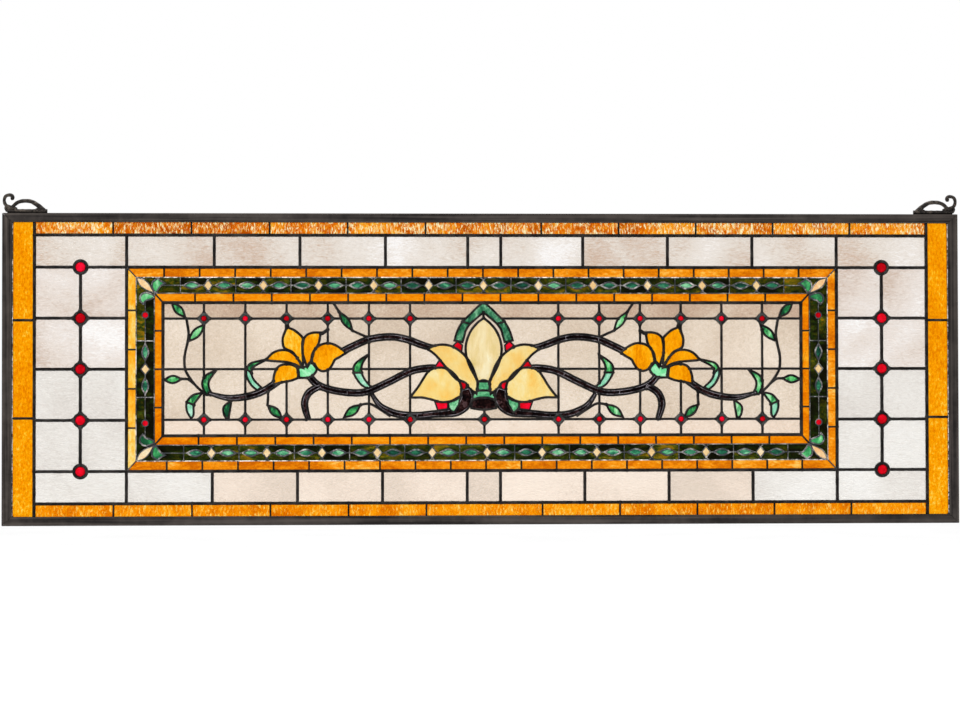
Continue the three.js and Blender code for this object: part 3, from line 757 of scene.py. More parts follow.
def corner_petals():
    outlines = []
    for sx, sz in CORNERS:
        a = (sx * BAND_OUTER_LINE[0], sz * BAND_OUTER_LINE[1])
        b = (sx * BAND_INNER_LINE[0], sz * BAND_INNER_LINE[1])
        outlines.append(lens(a, b, CORNER_PETAL_WIDTH, CORNER_PETAL_LEAN))
    return shapes_of("corner_petals", "cream", outlines)


# Green leaves beside each corner petal, as distances inwards from the corner of the band
CORNER_LEAF_TOP = [
    (20.1, 0.7), (22.6, 3), (27, 5.6), (23.8, 7.4), (21.2, 10.4), (18.8, 14.4), (16.2, 12.4),
    (14.8, 8.6), (15.2, 4.6), (17.6, 2.6),
]
CORNER_LEAF_SIDE = [
    (3.6, 18.2), (6.4, 15), (10.4, 14.5), (16.4, 16.6), (17, 18.6), (13, 20.6), (9.2, 21.8),
    (6.4, 25), (3.8, 22),
]


def corner_leaves():
    """The two green leaves at each corner of the band."""
    outlines = []
    for points in (CORNER_LEAF_TOP, CORNER_LEAF_SIDE):
        for sx, sz in CORNERS:
            outline = [(sx * (BAND_OUTER_LINE[0] - x), sz * (BAND_OUTER_LINE[1] - z)) for x, z in points]
            outlines.append(smooth(outline, closed=True))
    return shapes_of("corner_leaves", "corner_leaf", outlines)


def diamond_feet(x, sign):
    """Fine leads from a diamond's two tips to the edges of the band, two from each tip."""
    feet = []
    for side, line in zip(SIDES, (BAND_OUTER_LINE, BAND_INNER_LINE)):
        tip = (x, sign * (BAND_TOP + side * DIAMOND_HALF_HEIGHT))
        feet += [[(x + lean, sign * line[1]), tip] for lean in (DIAMOND_FOOT, -DIAMOND_FOOT)]
    return leads_of(feet, DIAMOND_FOOT_LEAD, "band")


def band_leads():
    dividers = [middle + DIAMOND_PITCH / 2 for middle in BAND_MIDDLES]
    outer, inner = BAND_OUTER_LINE, BAND_INNER_LINE
    # The outer lead of the band is a real lead drawn in the painted highlight colour, for the glints it
    # catches.
    leads = [frame_lead(outer, BAND_LEAD, "painted_highlight_lines"), frame_lead(inner, BAND_LEAD, "band")]
    for sign in SIDES:
        middle, side = sign * BAND_TOP, sign * BAND_SIDE
        bars = [[(-inner[0], middle), (inner[0], middle)]]
        bars += [[(x, sign * outer[1]), (x, sign * inner[1])] for x in row(dividers, BAND_SHIFTS[sign])]
        bars.append([(side, -inner[1]), (side, inner[1])])
        bars += [[(sign * outer[0], z), (sign * inner[0], z)] for z in (SIDE_DIVIDER, -SIDE_DIVIDER)]
        leads += leads_of(bars, BAND_LEAD, "band")
        for x in row(BAND_MIDDLES, BAND_SHIFTS[sign]):
            leads += diamond_feet(x, sign)
    return leads


# Leads of the field

ARCH_FOOT_X = 15.5
SADDLE_FOOT_Z = -36.0
ROW_START = 53.0
ARCH_TOP_LEAD = [(0, 56), (0, 46)]


def grid_leads():
    half_x, half_z = FIELD_LINE
    bars = [[(x, -half_z), (x, half_z)] for x in GRID_COLUMN_PLACES]
    bars.append([(-half_x, -GRID_ROW), (half_x, -GRID_ROW)])
    bars.append([(GRID_SHIFT, -half_z), (GRID_SHIFT, SADDLE_FOOT_Z)])
    for sign in SIDES:
        bars.append([(sign * ROW_START, 0), (sign * half_x, 0)])
        bars.append([(sign * ARCH_FOOT_X, GRID_ROW), (sign * half_x, GRID_ROW)])
    return leads_of(bars, GRID_LEAD, "grid")


def stem_leads():
    leads = [Lead(smooth(line), STEM_LEAD, "picture") for line in mirrored(STEMS)]
    for line, (width, end) in ((PETAL_TAIL, PETAL_TAIL_WIDTHS), (PETAL_KNOT, PETAL_KNOT_WIDTHS)):
        leads += [Lead(smooth(side), width, "picture", end_width=end) for side in mirrored([line])]
    return leads + [Lead(ARCH_TOP_LEAD, PETAL_LEAD, "picture")]


def crossing_leads():
    """Leads that cross a shape: those of the curved leaves and of the arch."""
    return leads_of(mirrored([*crescent_bars(), ARCH_JOINT]), LEAF_LEAD, "picture")


def outline_leads(shapes, width, group):
    return leads_of([shape.outline for shape in shapes], width, group, closed=True)


# Everything together

PETAL_KINDS = {"petal_centre", "petal_inner", "petal_outer", "orange", "mint"}
GREEN_KINDS = {"arch_green", "calyx_green", "black"}
FAR = 500.0


def over(lower, upper):
    """Leads of the lower shapes, where no upper shape hides them."""
    return [part for lead in lower for part in clipped(lead, upper)]


def inside_field(leads):
    """Leads of the picture stop at the lead line round the field."""
    half_x, half_z = FIELD_LINE
    beyond = []
    for sign in SIDES:
        far = sign * FAR
        beyond.append([(-FAR, sign * half_z), (FAR, sign * half_z), (FAR, far), (-FAR, far)])
        beyond.append([(sign * half_x, -FAR), (sign * half_x, FAR), (far, FAR), (far, -FAR)])
    return over(leads, shapes_of("beyond", "", beyond))


def boss_cuts():
    """The openings in the glass under the small and the large bosses."""
    small = [rhombus(x, z, SMALL_BOSS_CUT, SMALL_BOSS_CUT) for x, z in SMALL_JEWELS]
    large = [circle(x, z, BOSS_CUT_RADIUS) for x, z, _ in LARGE_JEWELS]
    return shapes_of("boss_cuts", "boss", small), shapes_of("boss_cuts", "boss", large)


class Drawing:
    """All the leads and glass shapes of the panel."""

    def __init__(self):
        flowers = lotus_shapes() + flower_shapes() + small_picture_shapes()
        vines, leaves = vine_shapes(), leaf_shapes()
        lozenges, bosses = boss_cuts()
        petals, corners, lenses = corner_petals(), corner_leaves(), band_lenses()
        gems = diamonds() + side_jewel_shapes()
        large = [shape for shape in flowers if shape.kind in PETAL_KINDS]
        green = [shape for shape in flowers if shape.kind in GREEN_KINDS]
        red = [shape for shape in flowers if shape.kind == "red"]
        picture = over(outline_leads(leaves, LEAF_LEAD, "picture"), flowers + vines)
        picture += over(outline_leads(vines, VINE_EDGE_LEAD, "vine_edges"), flowers + vines)
        picture += over(stem_leads(), flowers + vines + leaves)
        picture += crossing_leads()
        picture += outline_leads(large, PETAL_LEAD, "picture")
        picture += outline_leads(green, LEAF_LEAD, "picture")
        picture += over(outline_leads(red, RED_LEAD, "picture"), large)
        picture += over(grid_leads(), flowers + vines + leaves + lozenges)
        band = over(band_leads(), gems + lenses + petals + corners)
        band += outline_leads(lenses, LENS_LEAD, "band")
        band += outline_leads(gems + petals, BAND_LEAD, "band")
        band += over(outline_leads(corners, LENS_LEAD, "band"), petals)
        self.leads = over(border_leads(), bosses) + inside_field(picture) + band
        self.extras = over(vine_glints(), flowers + lozenges) + rail_leads()
        self.shapes = lozenges + bosses + gems + lenses + petals + corners
        self.shapes += flowers + vines + pale_halves() + leaves
        self.cuts = [boss.outline + boss.outline[:1] for boss in lozenges + bosses]


# Glass pieces between the leads

class Region:
    """One piece of glass: its triangles, the directed edges round it, its area and a spot in it."""

    def __init__(self):
        self.triangles, self.edges, self.area, self.largest = [], [], 0.0, 0.0
        self.spot = (0.0, 0.0)

    def take(self, corners, places):
        """Adds a triangle. The spot is the middle of the largest one."""
        area = geometry.area_tri(*(places[c].to_3d() for c in corners))
        self.triangles.append(corners)
        self.area += area
        if area > self.largest:
            self.largest = area
            self.spot = tuple(sum((places[c] for c in corners), Vector((0, 0))) / 3)


CUT_EXTRA = 0.7
CUT_OVERLAP = 1
MERGE_DISTANCE = 0.01


def lengthened(points):
    """A line made a little longer at both ends, so that it reaches the lead it runs up to."""
    start, end = unit(points[1], points[0]), unit(points[-2], points[-1])
    first = (points[0][0] + start[0] * CUT_EXTRA, points[0][1] + start[1] * CUT_EXTRA)
    last = (points[-1][0] + end[0] * CUT_EXTRA, points[-1][1] + end[1] * CUT_EXTRA)
    return [first, *points[1:-1], last]


def cut_lines(drawing):
    """Every line the glass is cut along, with those between the sight edge and the sheet's own."""
    lines = []
    for lead in drawing.leads:
        lines.append(lead.points + lead.points[:1] if lead.closed else lengthened(lead.points))
    sheet = rectangle(*SHEET)
    lines.append(sheet + sheet[:1])
    bars = [lead.points for lead in drawing.leads if lead.group == "borders" and len(lead.points) == 2]
    for sign in SIDES:
        for (ax, az), (bx, bz) in bars:
            if SIGHT[1] in (abs(az), abs(bz)):
                ends = SIGHT[1] - CUT_OVERLAP, SHEET[1] + CUT_OVERLAP
                lines.append([(ax, sign * z) for z in ends])
            if abs(ax) == SIGHT[0] and sign == 1:
                lines.append([(ax, az), (math.copysign(SHEET[0] + CUT_OVERLAP, ax), az)])
    return lines + drawing.cuts


class Plane:
    """The plane of the panel cut along lines: its places, its triangles, and the edges on a line."""

    def __init__(self, lines):
        points, edges = [], []
        for line in lines:
            first = len(points)
            points += [Vector(point) for point in line]
            edges += [(first + i, first + i + 1) for i in range(len(line) - 1)]
        found = geometry.delaunay_2d_cdt(points, edges, [], 0, MERGE_DISTANCE)
        self.places, all_edges, self.triangles, _, edge_sources, _ = found
        self.cut_edges = {frozenset(edge) for edge, sources in zip(all_edges, edge_sources) if sources}
        self.owners = {}
        for index, corners in enumerate(self.triangles):
            for edge in around(corners):
                self.owners.setdefault(frozenset(edge), []).append(index)

    def region_from(self, start, number, region_of):
        """The region that reaches from a triangle to the cut edges, noted under its number."""
        region, waiting = Region(), [start]
        region_of[start] = number
        while waiting:
            corners = list(self.triangles[waiting.pop()])
            region.take(corners, self.places)
            for edge in map(frozenset, around(corners)):
                for other in [] if edge in self.cut_edges else self.owners[edge]:
                    if other not in region_of:
                        region_of[other] = number
                        waiting.append(other)
        return region

    def regions(self):
        region_of, regions = {}, []
        for start in range(len(self.triangles)):
            if start not in region_of:
                regions.append(self.region_from(start, len(regions), region_of))
        for index, corners in enumerate(self.triangles):
            for edge in around(corners):
                others = [other for other in self.owners[frozenset(edge)] if other != index]
                if not others or region_of[others[0]] != region_of[index]:
                    regions[region_of[index]].edges.append(edge)
        return regions


# The pale border glass is neutral in its lower half, but for the panes near the middle
NEUTRAL_BEYOND = 255.0


def border_kind(x, z):
    """The border glass at a place of the panel."""
    ax, az = abs(x), abs(z)
    if ax > AMBER_LINE[0]:
        return "amber_side"
    if az > AMBER_LINE[1]:
        return "amber_top" if z > 0 else "amber_bottom"
    if az > CLEAR_LINE[1]:
        if z > 0:
            return "clear_top"
        return "clear_bottom" if ax < NEUTRAL_BEYOND else "clear_plain"
    if ax > CLEAR_LINE[0]:
        return "clear_side" if z > 0 else "clear_plain"
    if x < -BAND_OUTER_LINE[0]:
        return "left_gold"
    rings = ((BAND_OUTER_LINE, "outer_gold"), (BAND_INNER_LINE, "band"), (FIELD_LINE, "inner_gold"))
    for line, kind in rings:
        if is_beyond(x, z, line):
            return kind
    if az > GRID_ROW:
        return "field_top" if z > 0 else "field_low"
    return "field"


BORDER_NAMES = {
    "amber_side": "amber_side_tiles", "amber_top": "amber_top_tiles", "amber_bottom": "amber_bottom_tiles",
    "clear_top": "clear_panes_top", "clear_side": "clear_panes", "clear_bottom": "clear_panes_bottom",
    "clear_plain": "clear_panes_plain", "outer_gold": "outer_gold_tiles", "left_gold": "left_gold_tiles",
    "band": "band_glass", "inner_gold": "inner_gold_tiles", "field": "field_panes",
    "field_top": "field_panes_top", "field_low": "field_panes_bottom",
}
SCRAP_AREA = 5.0
SMALLEST_AREA = 0.6
PLAIN_KINDS = {
    "outer_gold", "left_gold", "inner_gold", "clear_top", "clear_side", "clear_bottom", "clear_plain",
}


def named(region, shapes):
    """The name and kind of glass of a region."""
    x, z = region.spot
    kind = border_kind(x, z)
    for shape in shapes:
        if shape.holds(x, z) and (shape.kind == "boss" or kind not in PLAIN_KINDS):
            return shape.name, shape.kind
    if region.area < SCRAP_AREA and kind.startswith("field"):
        return "solder_fills", "solder"
    return BORDER_NAMES[kind], kind


# Meshes

PLAIN_TINT = 0.5
GLASS_GAP = 0.35
SOLDER_FILL_FACE = GLASS_FACE + 0.3


class Build:
    """Collects the points and faces of one piece, with a tint for each part of it."""

    def __init__(self):
        self.points, self.faces, self.tints = [], [], []

    def add(self, points, faces, tint, is_flipped=False):
        first = len(self.points)
        self.points += points
        step = -1 if is_flipped else 1
        self.faces += [tuple(first + i for i in face[::step]) for face in faces]
        self.tints += [tint] * len(faces)

    def add_bar(self, rings, is_loop, tint, is_flipped):
        """A bar made of rings of points, with flat ends unless it is a loop."""
        count = len(rings[0])
        faces = ring_faces(len(rings), count, is_loop)
        if not is_loop:
            last = (len(rings) - 1) * count
            faces += [tuple(range(count))[::-1], tuple(range(last, last + count))]
        self.add([point for ring in rings for point in ring], faces, tint, is_flipped)

    def piece(self, name, material, slot, is_smooth=False):
        mesh = bpy.data.meshes.new(name)
        mesh.from_pydata(self.points, [], self.faces)
        attribute = mesh.attributes.new("tint", "FLOAT", "FACE")
        attribute.data.foreach_set("value", self.tints)
        mesh.materials.append(material)
        mesh.polygons.foreach_set("use_smooth", [is_smooth] * len(mesh.polygons))
        mesh.update()
        made = bpy.data.objects.new(name, mesh)
        bpy.context.scene.collection.objects.link(made)
        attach(made, "root")
        return made


def ring_faces(rings, count, is_loop):
    """Four-sided faces between rings of count points, and back to the first ring in a loop."""
    faces = []
    for ring in range(rings if is_loop else rings - 1):
        a, b = ring * count, (ring + 1) % rings * count
        faces += [(a + i, a + (i + 1) % count, b + (i + 1) % count, b + i) for i in range(count)]
    return faces


def inset_points(region, places):
    """The region's points in millimetres, with its edge drawn in by the gap for the lead's heart."""
    into, out = {}, {}
    for a, b in region.edges:
        out.setdefault(a, []).append(b)
        into.setdefault(b, []).append(a)
    moved = {}
    for corners in region.triangles:
        for c in corners:
            point = tuple(places[c])
            if c in out and len(out[c]) == 1:
                point = shifted(tuple(places[into[c][0]]), point, tuple(places[out[c][0]]), -GLASS_GAP)
            moved[c] = point
    return moved


def add_slab(build, region, places, face, tint):
    """A flat piece of glass with straight sides."""
    moved = inset_points(region, places)
    order = {c: i for i, c in enumerate(moved)}
    count = len(order)
    points = [place(x, z, n) for n in (face, -face) for x, z in moved.values()]
    faces = []
    for corners in region.triangles:
        front = tuple(order[c] for c in corners)
        faces += [front, tuple(i + count for i in front[::-1])]
    faces += [(order[a], order[a] + count, order[b] + count, order[b]) for a, b in region.edges]
    build.add(points, faces, tint)


# How far lead and solder stray from even lines, and the noise that each of their measures follows
WIDTH_WAVER = 0.09
LINE_WAVER = 0.10
HEIGHT_WAVER = 0.15
BOSS_WAVER = 0.08
WAVER_SCALE = 0.16
WIDTH_SALT = 3.0
LINE_SALT = 9.0
HEIGHT_SALT = 5.0
BOSS_SALT = 2.0


def waver(x, z, salt):
    """A smooth random number between about -1 and 1 for a place on the panel."""
    return noise.noise(Vector((x * WAVER_SCALE, z * WAVER_SCALE, salt)))


def bead_rings(lead, line, sign):
    """Cross-sections of a rounded lead along a line, on the front (sign 1) or the back (-1)."""
    rings = []
    for i, (x, z) in enumerate(line):
        before, after = neighbours(line, i, lead.closed)
        width = lead.width + (lead.end_width - lead.width) * (i / (len(line) - 1))
        half = width / 2 * (1 + WIDTH_WAVER * waver(x, z, WIDTH_SALT + sign))
        sway = LINE_WAVER * waver(x, z, LINE_SALT + sign)
        height = LEAD_RISE * (1 + HEIGHT_WAVER * waver(x, z, HEIGHT_SALT + sign))
        ring = []
        for side in range(LEAD_SIDES + 1):
            angle = math.pi * side / LEAD_SIDES
            px, pz = shifted(before, (x, z), after, half * math.cos(angle) + sway)
            ring.append(place(px, pz, sign * (LEAD_BASE + height * math.sin(angle))))
        rings.append(ring)
    return rings


def add_bead(build, lead):
    line = finely(lead.points, lead.closed, LEAD_STEP)
    if len(line) < 2:
        return
    for sign in SIDES:
        build.add_bar(bead_rings(lead, line, sign), lead.closed, randomly.random(), sign < 0)


def add_domes(build, x, z, radius, base, height, rings, count, flat=0.0):
    """A round domed lump on each face of the glass, with an optional flat in its middle."""
    top, bottom, last = rings * count, rings * count + 1, (rings - 1) * count
    faces = ring_faces(rings, count, False)
    faces += [(last + i, last + (i + 1) % count, top) for i in range(count)]
    faces += [((i + 1) % count, i, bottom) for i in range(count)]
    for sign in SIDES:
        points = []
        for ring in range(rings):
            angle = (math.pi / 2) * ring / rings
            outline = circle(x, z, radius * (flat + (1 - flat) * math.cos(angle)), count)
            points += [place(px, pz, sign * (base + height * math.sin(angle))) for px, pz in outline]
        points += [place(x, z, sign * (base + height)), place(x, z, sign * base)]
        build.add(points, faces, randomly.random(), sign < 0)


# The section of a boss: shares of the way from its hole to its outline, with their heights
BOSS_SECTION = [(1.0, 0.0), (0.9, 0.55), (0.68, 0.92), (0.42, 1.0), (0.16, 0.8), (0.0, 0.1)]


def add_bosses(build, outline, hole, rise):
    """A soldered collar on each face of the glass, between an outline and a round hole."""
    faces = ring_faces(len(BOSS_SECTION), len(outline), True)
    for sign in SIDES:
        points = []
        for share, height in BOSS_SECTION:
            for (ox, oz), (ix, iz) in zip(outline, hole):
                x, z = ix + (ox - ix) * share, iz + (oz - iz) * share
                n = LEAD_BASE + rise * height * (1 + BOSS_WAVER * waver(x, z, BOSS_SALT))
                points.append(place(x, z, sign * n))
        build.add(points, faces, randomly.random(), sign < 0)


# Materials

PIECE_SHIFT = 0.91, 0.37, 0.53
EVEN = 1, 1, 1


def linear(*channels):
    """A colour given as it looks on a screen, from 0 to 255."""
    shares = [channel / 255 for channel in channels]
    return (*(s / 12.92 if s <= 0.04045 else ((s + 0.055) / 1.055) ** 2.4 for s in shares), 1.0)


class Nodes:
    """A material's node tree with short ways to add and join nodes."""

    def __init__(self, name):
        self.material = bpy.data.materials.new(name)
        self.material.use_nodes = True
        self.tree = self.material.node_tree
        self.shader = self.tree.nodes["Principled BSDF"]
        self.coordinates = self.add("ShaderNodeTexCoord").outputs["Object"]

    def feed(self, socket, value):
        """Joins a source to a socket, or sets the socket where the value is plain."""
        if isinstance(value, bpy.types.NodeSocket):
            self.tree.links.new(value, socket)
        else:
            socket.default_value = value

    def add(self, kind, inputs=None, **settings):
        node = self.tree.nodes.new(kind)
        for key, value in settings.items():
            setattr(node, key, value)
        for key, value in (inputs or {}).items():
            self.feed(node.inputs[key], value)
        return node

    def set(self, **values):
        for key, value in values.items():
            self.feed(self.shader.inputs[key.replace("_", " ")], value)

    def tint(self):
        return self.add("ShaderNodeAttribute", attribute_name="tint").outputs["Fac"]

    def spread(self, stretch):
        """Coordinates stretched along the axes and moved for each piece of glass."""
        shift = self.add("ShaderNodeVectorMath", {0: PIECE_SHIFT, "Scale": self.tint()}, operation="SCALE")
        inputs = {0: self.coordinates, 1: shift.outputs[0]}
        moved = self.add("ShaderNodeVectorMath", inputs, operation="ADD").outputs[0]
        return self.add("ShaderNodeMapping", {"Vector": moved, "Scale": stretch}).outputs[0]

    def cloud(self, vector, scale, detail=3.0, distortion=0.0):
        inputs = {"Vector": vector, "Scale": scale, "Detail": detail, "Distortion": distortion}
        return self.add("ShaderNodeTexNoise", inputs).outputs["Fac"]

    def level(self, *parts):
        """Clouds added up round one half: each part is a source between 0 and 1 and its gain."""
        total = 0.5 - sum(gain for _, gain in parts) / 2
        for source, gain in parts:
            inputs = {0: source, 1: gain, 2: total}
            total = self.add("ShaderNodeMath", inputs, operation="MULTIPLY_ADD").outputs[0]
        return total

    def ramp(self, source, stops):
        """Colours along a source value: each stop is its place and its red, green and blue."""
        ramp = self.add("ShaderNodeValToRGB", {"Fac": source})
        elements = ramp.color_ramp.elements
        while len(elements) < len(stops):
            elements.new(0.5)
        for element, (position, *colour) in zip(elements, stops):
            element.position = position
            element.color = linear(*colour)
        return ramp.outputs["Color"]

    def mix(self, factor, a, b):
        """Mixes two colours; the factor, a and b are values or sockets."""
        return self.add("ShaderNodeMix", {0: factor, 6: a, 7: b}, data_type="RGBA").outputs[2]

    def between(self, source, low, high):
        """A number that runs from low to high as its source runs from 0 to 1."""
        return self.add("ShaderNodeMapRange", {"Value": source, "To Min": low, "To Max": high}).outputs[0]

    def bump(self, height, strength, distance):
        inputs = {"Height": height, "Strength": strength, "Distance": distance}
        self.set(Normal=self.add("ShaderNodeBump", inputs).outputs[0])


GLASS_IOR = 1.5
GLASS_GLOSS = 0.035
GRAIN_HEIGHT = 0.0006
STROKE_HEIGHT = 0.0008
FINE_HEIGHT = 0.0004


def art_glass(
    name, stops, stretch=EVEN, broad=60.0, grain=420.0, gains=(1.6, 1.2), spread=0.3,
    transmission=0.85, ripple=0.25,
):
    """Coloured glass: stops are its colours along broad clouds with a fine grain over them."""
    nodes = Nodes(name)
    vector = nodes.spread(stretch)
    clouds = nodes.cloud(vector, broad, detail=3.0, distortion=0.5)
    fine = nodes.cloud(vector, grain, detail=2.0, distortion=0.3)
    level = nodes.level((clouds, gains[0]), (fine, gains[1]), (nodes.tint(), spread))
    nodes.bump(fine, ripple, GRAIN_HEIGHT)
    nodes.set(
        Base_Color=nodes.ramp(level, stops), Roughness=nodes.between(fine, low=0.08, high=0.24),
        Transmission_Weight=transmission, IOR=GLASS_IOR, Specular_IOR_Level=GLASS_GLOSS,
        Specular_Tint=linear(*stops[len(stops) // 2][1:]),
    )
    return nodes.material


def flecked_glass(name, stops, glint_fleck, threshold, softness):
    """Amber glass with dense bright strokes, most of them upright: painted glints where light catches the
    hammered glass.
    """
    nodes = Nodes(name)
    clouds = nodes.cloud(nodes.spread(EVEN), scale=60.0, detail=3.0, distortion=0.6)
    fine = nodes.cloud(nodes.spread((1, 1, 0.5)), scale=500.0, detail=2.0, distortion=0.6)
    strokes = nodes.cloud(nodes.spread((1, 1, 0.34)), scale=640.0, detail=1.0, distortion=0.7)
    patches = nodes.cloud(nodes.spread(EVEN), scale=45.0, detail=2.0)
    level = nodes.level((clouds, 1.8), (fine, 1.2), (nodes.tint(), 0.3))
    specks = nodes.level((strokes, 3.4), (patches, 0.8))
    share = nodes.ramp(specks, [(threshold, 0, 0, 0), (threshold + softness, 255, 255, 255)])
    nodes.bump(strokes, strength=0.5, distance=STROKE_HEIGHT)
    nodes.set(
        Base_Color=nodes.mix(share, nodes.ramp(level, stops), linear(*glint_fleck)),
        Roughness=nodes.between(fine, low=0.08, high=0.3), Transmission_Weight=0.85, IOR=GLASS_IOR,
        Specular_IOR_Level=GLASS_GLOSS, Specular_Tint=linear(*stops[1][1:]),
    )
    return nodes.material


def metal_with_patina_and_glints(
    name, dark, light, scale, rough=(0.3, 0.6), reach=(0.38, 0.7), metallic=0.85, strength=0.3,
    brushing=None,
):
    """Dark metal with lighter patches, worn patina in the dark metals and painted glints in the bright
    solders, and with streaks where a brushing stretch is given.
    """
    nodes = Nodes(name)
    patches = nodes.cloud(nodes.coordinates, scale, detail=5.0, distortion=0.4)
    grains = nodes.cloud(nodes.coordinates, scale * 7, detail=3.0)
    parts = [(patches, 1.2), (grains, 0.9)]
    if brushing:
        streaks = nodes.cloud(nodes.spread(brushing), scale=330.0, detail=2.0)
        parts = [(patches, 0.8), (grains, 0.5), (streaks, 2.2)]
    colour = nodes.ramp(nodes.level(*parts), [(reach[0], *dark), (reach[1], *light)])
    nodes.bump(grains, strength, FINE_HEIGHT)
    nodes.set(Base_Color=colour, Roughness=nodes.between(grains, *rough), Metallic=metallic)
    return nodes.material


def pale_glass(name, stops, ripple_stretch, broad=14.0, gains=(1.8, 0.7), spread=0.25):
    """Nearly clear glass with soft pools of warm tint, partly the glass's own and partly painted shade and
    reflection of the backdrop seen through it, and a fine ripple.
    """
    nodes = Nodes(name)
    tint_and_shade_pools = nodes.cloud(nodes.spread(EVEN), broad, detail=1.5, distortion=0.4)
    vector = nodes.spread(ripple_stretch)
    ripples = nodes.cloud(vector, scale=380.0, detail=1.5, distortion=1.6)
    grain = nodes.cloud(vector, scale=1000.0, detail=1.0)
    level = nodes.level((tint_and_shade_pools, gains[0]), (ripples, gains[1]), (grain, 0.35), (nodes.tint(), spread))
    nodes.bump(ripples, strength=0.4, distance=GRAIN_HEIGHT)
    nodes.set(
        Base_Color=nodes.ramp(level, stops), Roughness=nodes.between(ripples, low=0.04, high=0.2),
        Transmission_Weight=0.9, IOR=GLASS_IOR, Specular_IOR_Level=0.1,
    )
    return nodes.material


def jewel_glass(name, stops):
    nodes = Nodes(name)
    cloud = nodes.cloud(nodes.spread(EVEN), scale=200.0, detail=2.0)
    level = nodes.level((cloud, 1.4), (nodes.tint(), 0.7))
    nodes.bump(cloud, strength=0.08, distance=FINE_HEIGHT)
    nodes.set(
        Base_Color=nodes.ramp(level, stops), Roughness=nodes.between(cloud, low=0.03, high=0.1),
        Transmission_Weight=0.3, IOR=GLASS_IOR, Specular_IOR_Level=0.2,
        Specular_Tint=linear(*stops[1][1:]),
    )
    return nodes.material


def amber_glasses():
    return {
        "amber_side": art_glass(
            "amber_side_glass",
            [(0.05, 226, 124, 0), (0.45, 246, 154, 2), (0.74, 251, 167, 6), (0.92, 255, 192, 44),
             (1.0, 255, 216, 104)],
            stretch=(1, 1, 0.55), broad=36.0, grain=540.0, gains=(1.2, 2.4), spread=0.1,
        ),
        "amber_top": flecked_glass(
            "amber_top_glass",
            [(0.1, 176, 70, 0), (0.5, 220, 104, 4), (0.85, 248, 152, 16)],
            glint_fleck=(255, 240, 190), threshold=0.56, softness=0.22,
        ),
        "amber_bottom": flecked_glass(
            "amber_bottom_glass",
            [(0.1, 214, 104, 0), (0.5, 240, 136, 2), (0.85, 254, 160, 10)],
            glint_fleck=(255, 214, 110), threshold=0.72, softness=0.5,
        ),
        "outer_gold": art_glass(
            "outer_gold_glass",
            [(0.05, 204, 98, 4), (0.45, 236, 136, 10), (0.7, 252, 153, 18), (1.0, 255, 202, 98)],
            stretch=(0.5, 1, 1), broad=80.0, grain=520.0, gains=(1.9, 1.7), spread=0.3,
        ),
        "left_gold": art_glass(
            "left_gold_glass",
            [(0.05, 240, 146, 6), (0.45, 255, 176, 30), (0.8, 255, 204, 84), (1.0, 255, 226, 150)],
            stretch=(1, 1, 0.6), broad=60.0, grain=420.0, gains=(1.8, 1.4), spread=0.5,
        ),
        "inner_gold": art_glass(
            "inner_gold_glass",
            [(0.05, 214, 102, 0), (0.5, 246, 140, 3), (1.0, 255, 178, 40)],
            stretch=(0.5, 1, 1), broad=80.0, grain=520.0, gains=(1.4, 1.4), spread=0.3,
        ),
    }


def pale_glasses():
    long_ripple = (0.35, 1, 1.2)
    even_ripple = (0.8, 1, 1)
    return {
        # The palest stop of the top and side panes is a painted glint on the ripple.
        "clear_top": pale_glass(
            "clear_top_glass",
            [(0.05, 206, 180, 160), (0.4, 226, 216, 205), (0.8, 236, 229, 222), (1.0, 248, 245, 243)],
            ripple_stretch=long_ripple, broad=14.0, gains=(1.8, 1.15),
        ),
        "clear_side": pale_glass(
            "clear_side_glass",
            [(0.02, 206, 184, 168), (0.35, 227, 215, 205), (0.8, 239, 232, 227), (1.0, 250, 248, 246)],
            ripple_stretch=long_ripple, broad=15.0, gains=(1.9, 1.05),
        ),
        "clear_plain": pale_glass(
            "clear_plain_glass",
            [(0.1, 218, 211, 204), (0.5, 233, 229, 223), (0.9, 242, 240, 236)],
            ripple_stretch=long_ripple, broad=14.0, gains=(1.2, 1.0),
        ),
        "clear_bottom": pale_glass(
            "clear_bottom_glass",
            [(0.1, 222, 206, 190), (0.5, 236, 219, 203), (0.9, 246, 231, 216)],
            ripple_stretch=(0.8, 1, 1.1), broad=14.0, gains=(1.6, 1.2),
        ),
        "field_top": pale_glass(
            "field_top_glass",
            [(0.1, 188, 158, 133), (0.5, 207, 182, 158), (0.9, 226, 208, 188)],
            ripple_stretch=even_ripple, broad=20.0, gains=(1.4, 1.4),
        ),
        "field": pale_glass(
            "field_ripple_glass",
            [(0.05, 210, 190, 168), (0.5, 227, 210, 190), (0.95, 241, 227, 211)],
            ripple_stretch=even_ripple, broad=11.0, gains=(1.6, 1.4), spread=0.25,
        ),
        "field_low": pale_glass(
            "field_low_glass",
            [(0.1, 222, 202, 181), (0.5, 239, 219, 200), (0.9, 246, 231, 216)],
            ripple_stretch=even_ripple, broad=16.0, gains=(1.4, 1.2),
        ),
    }


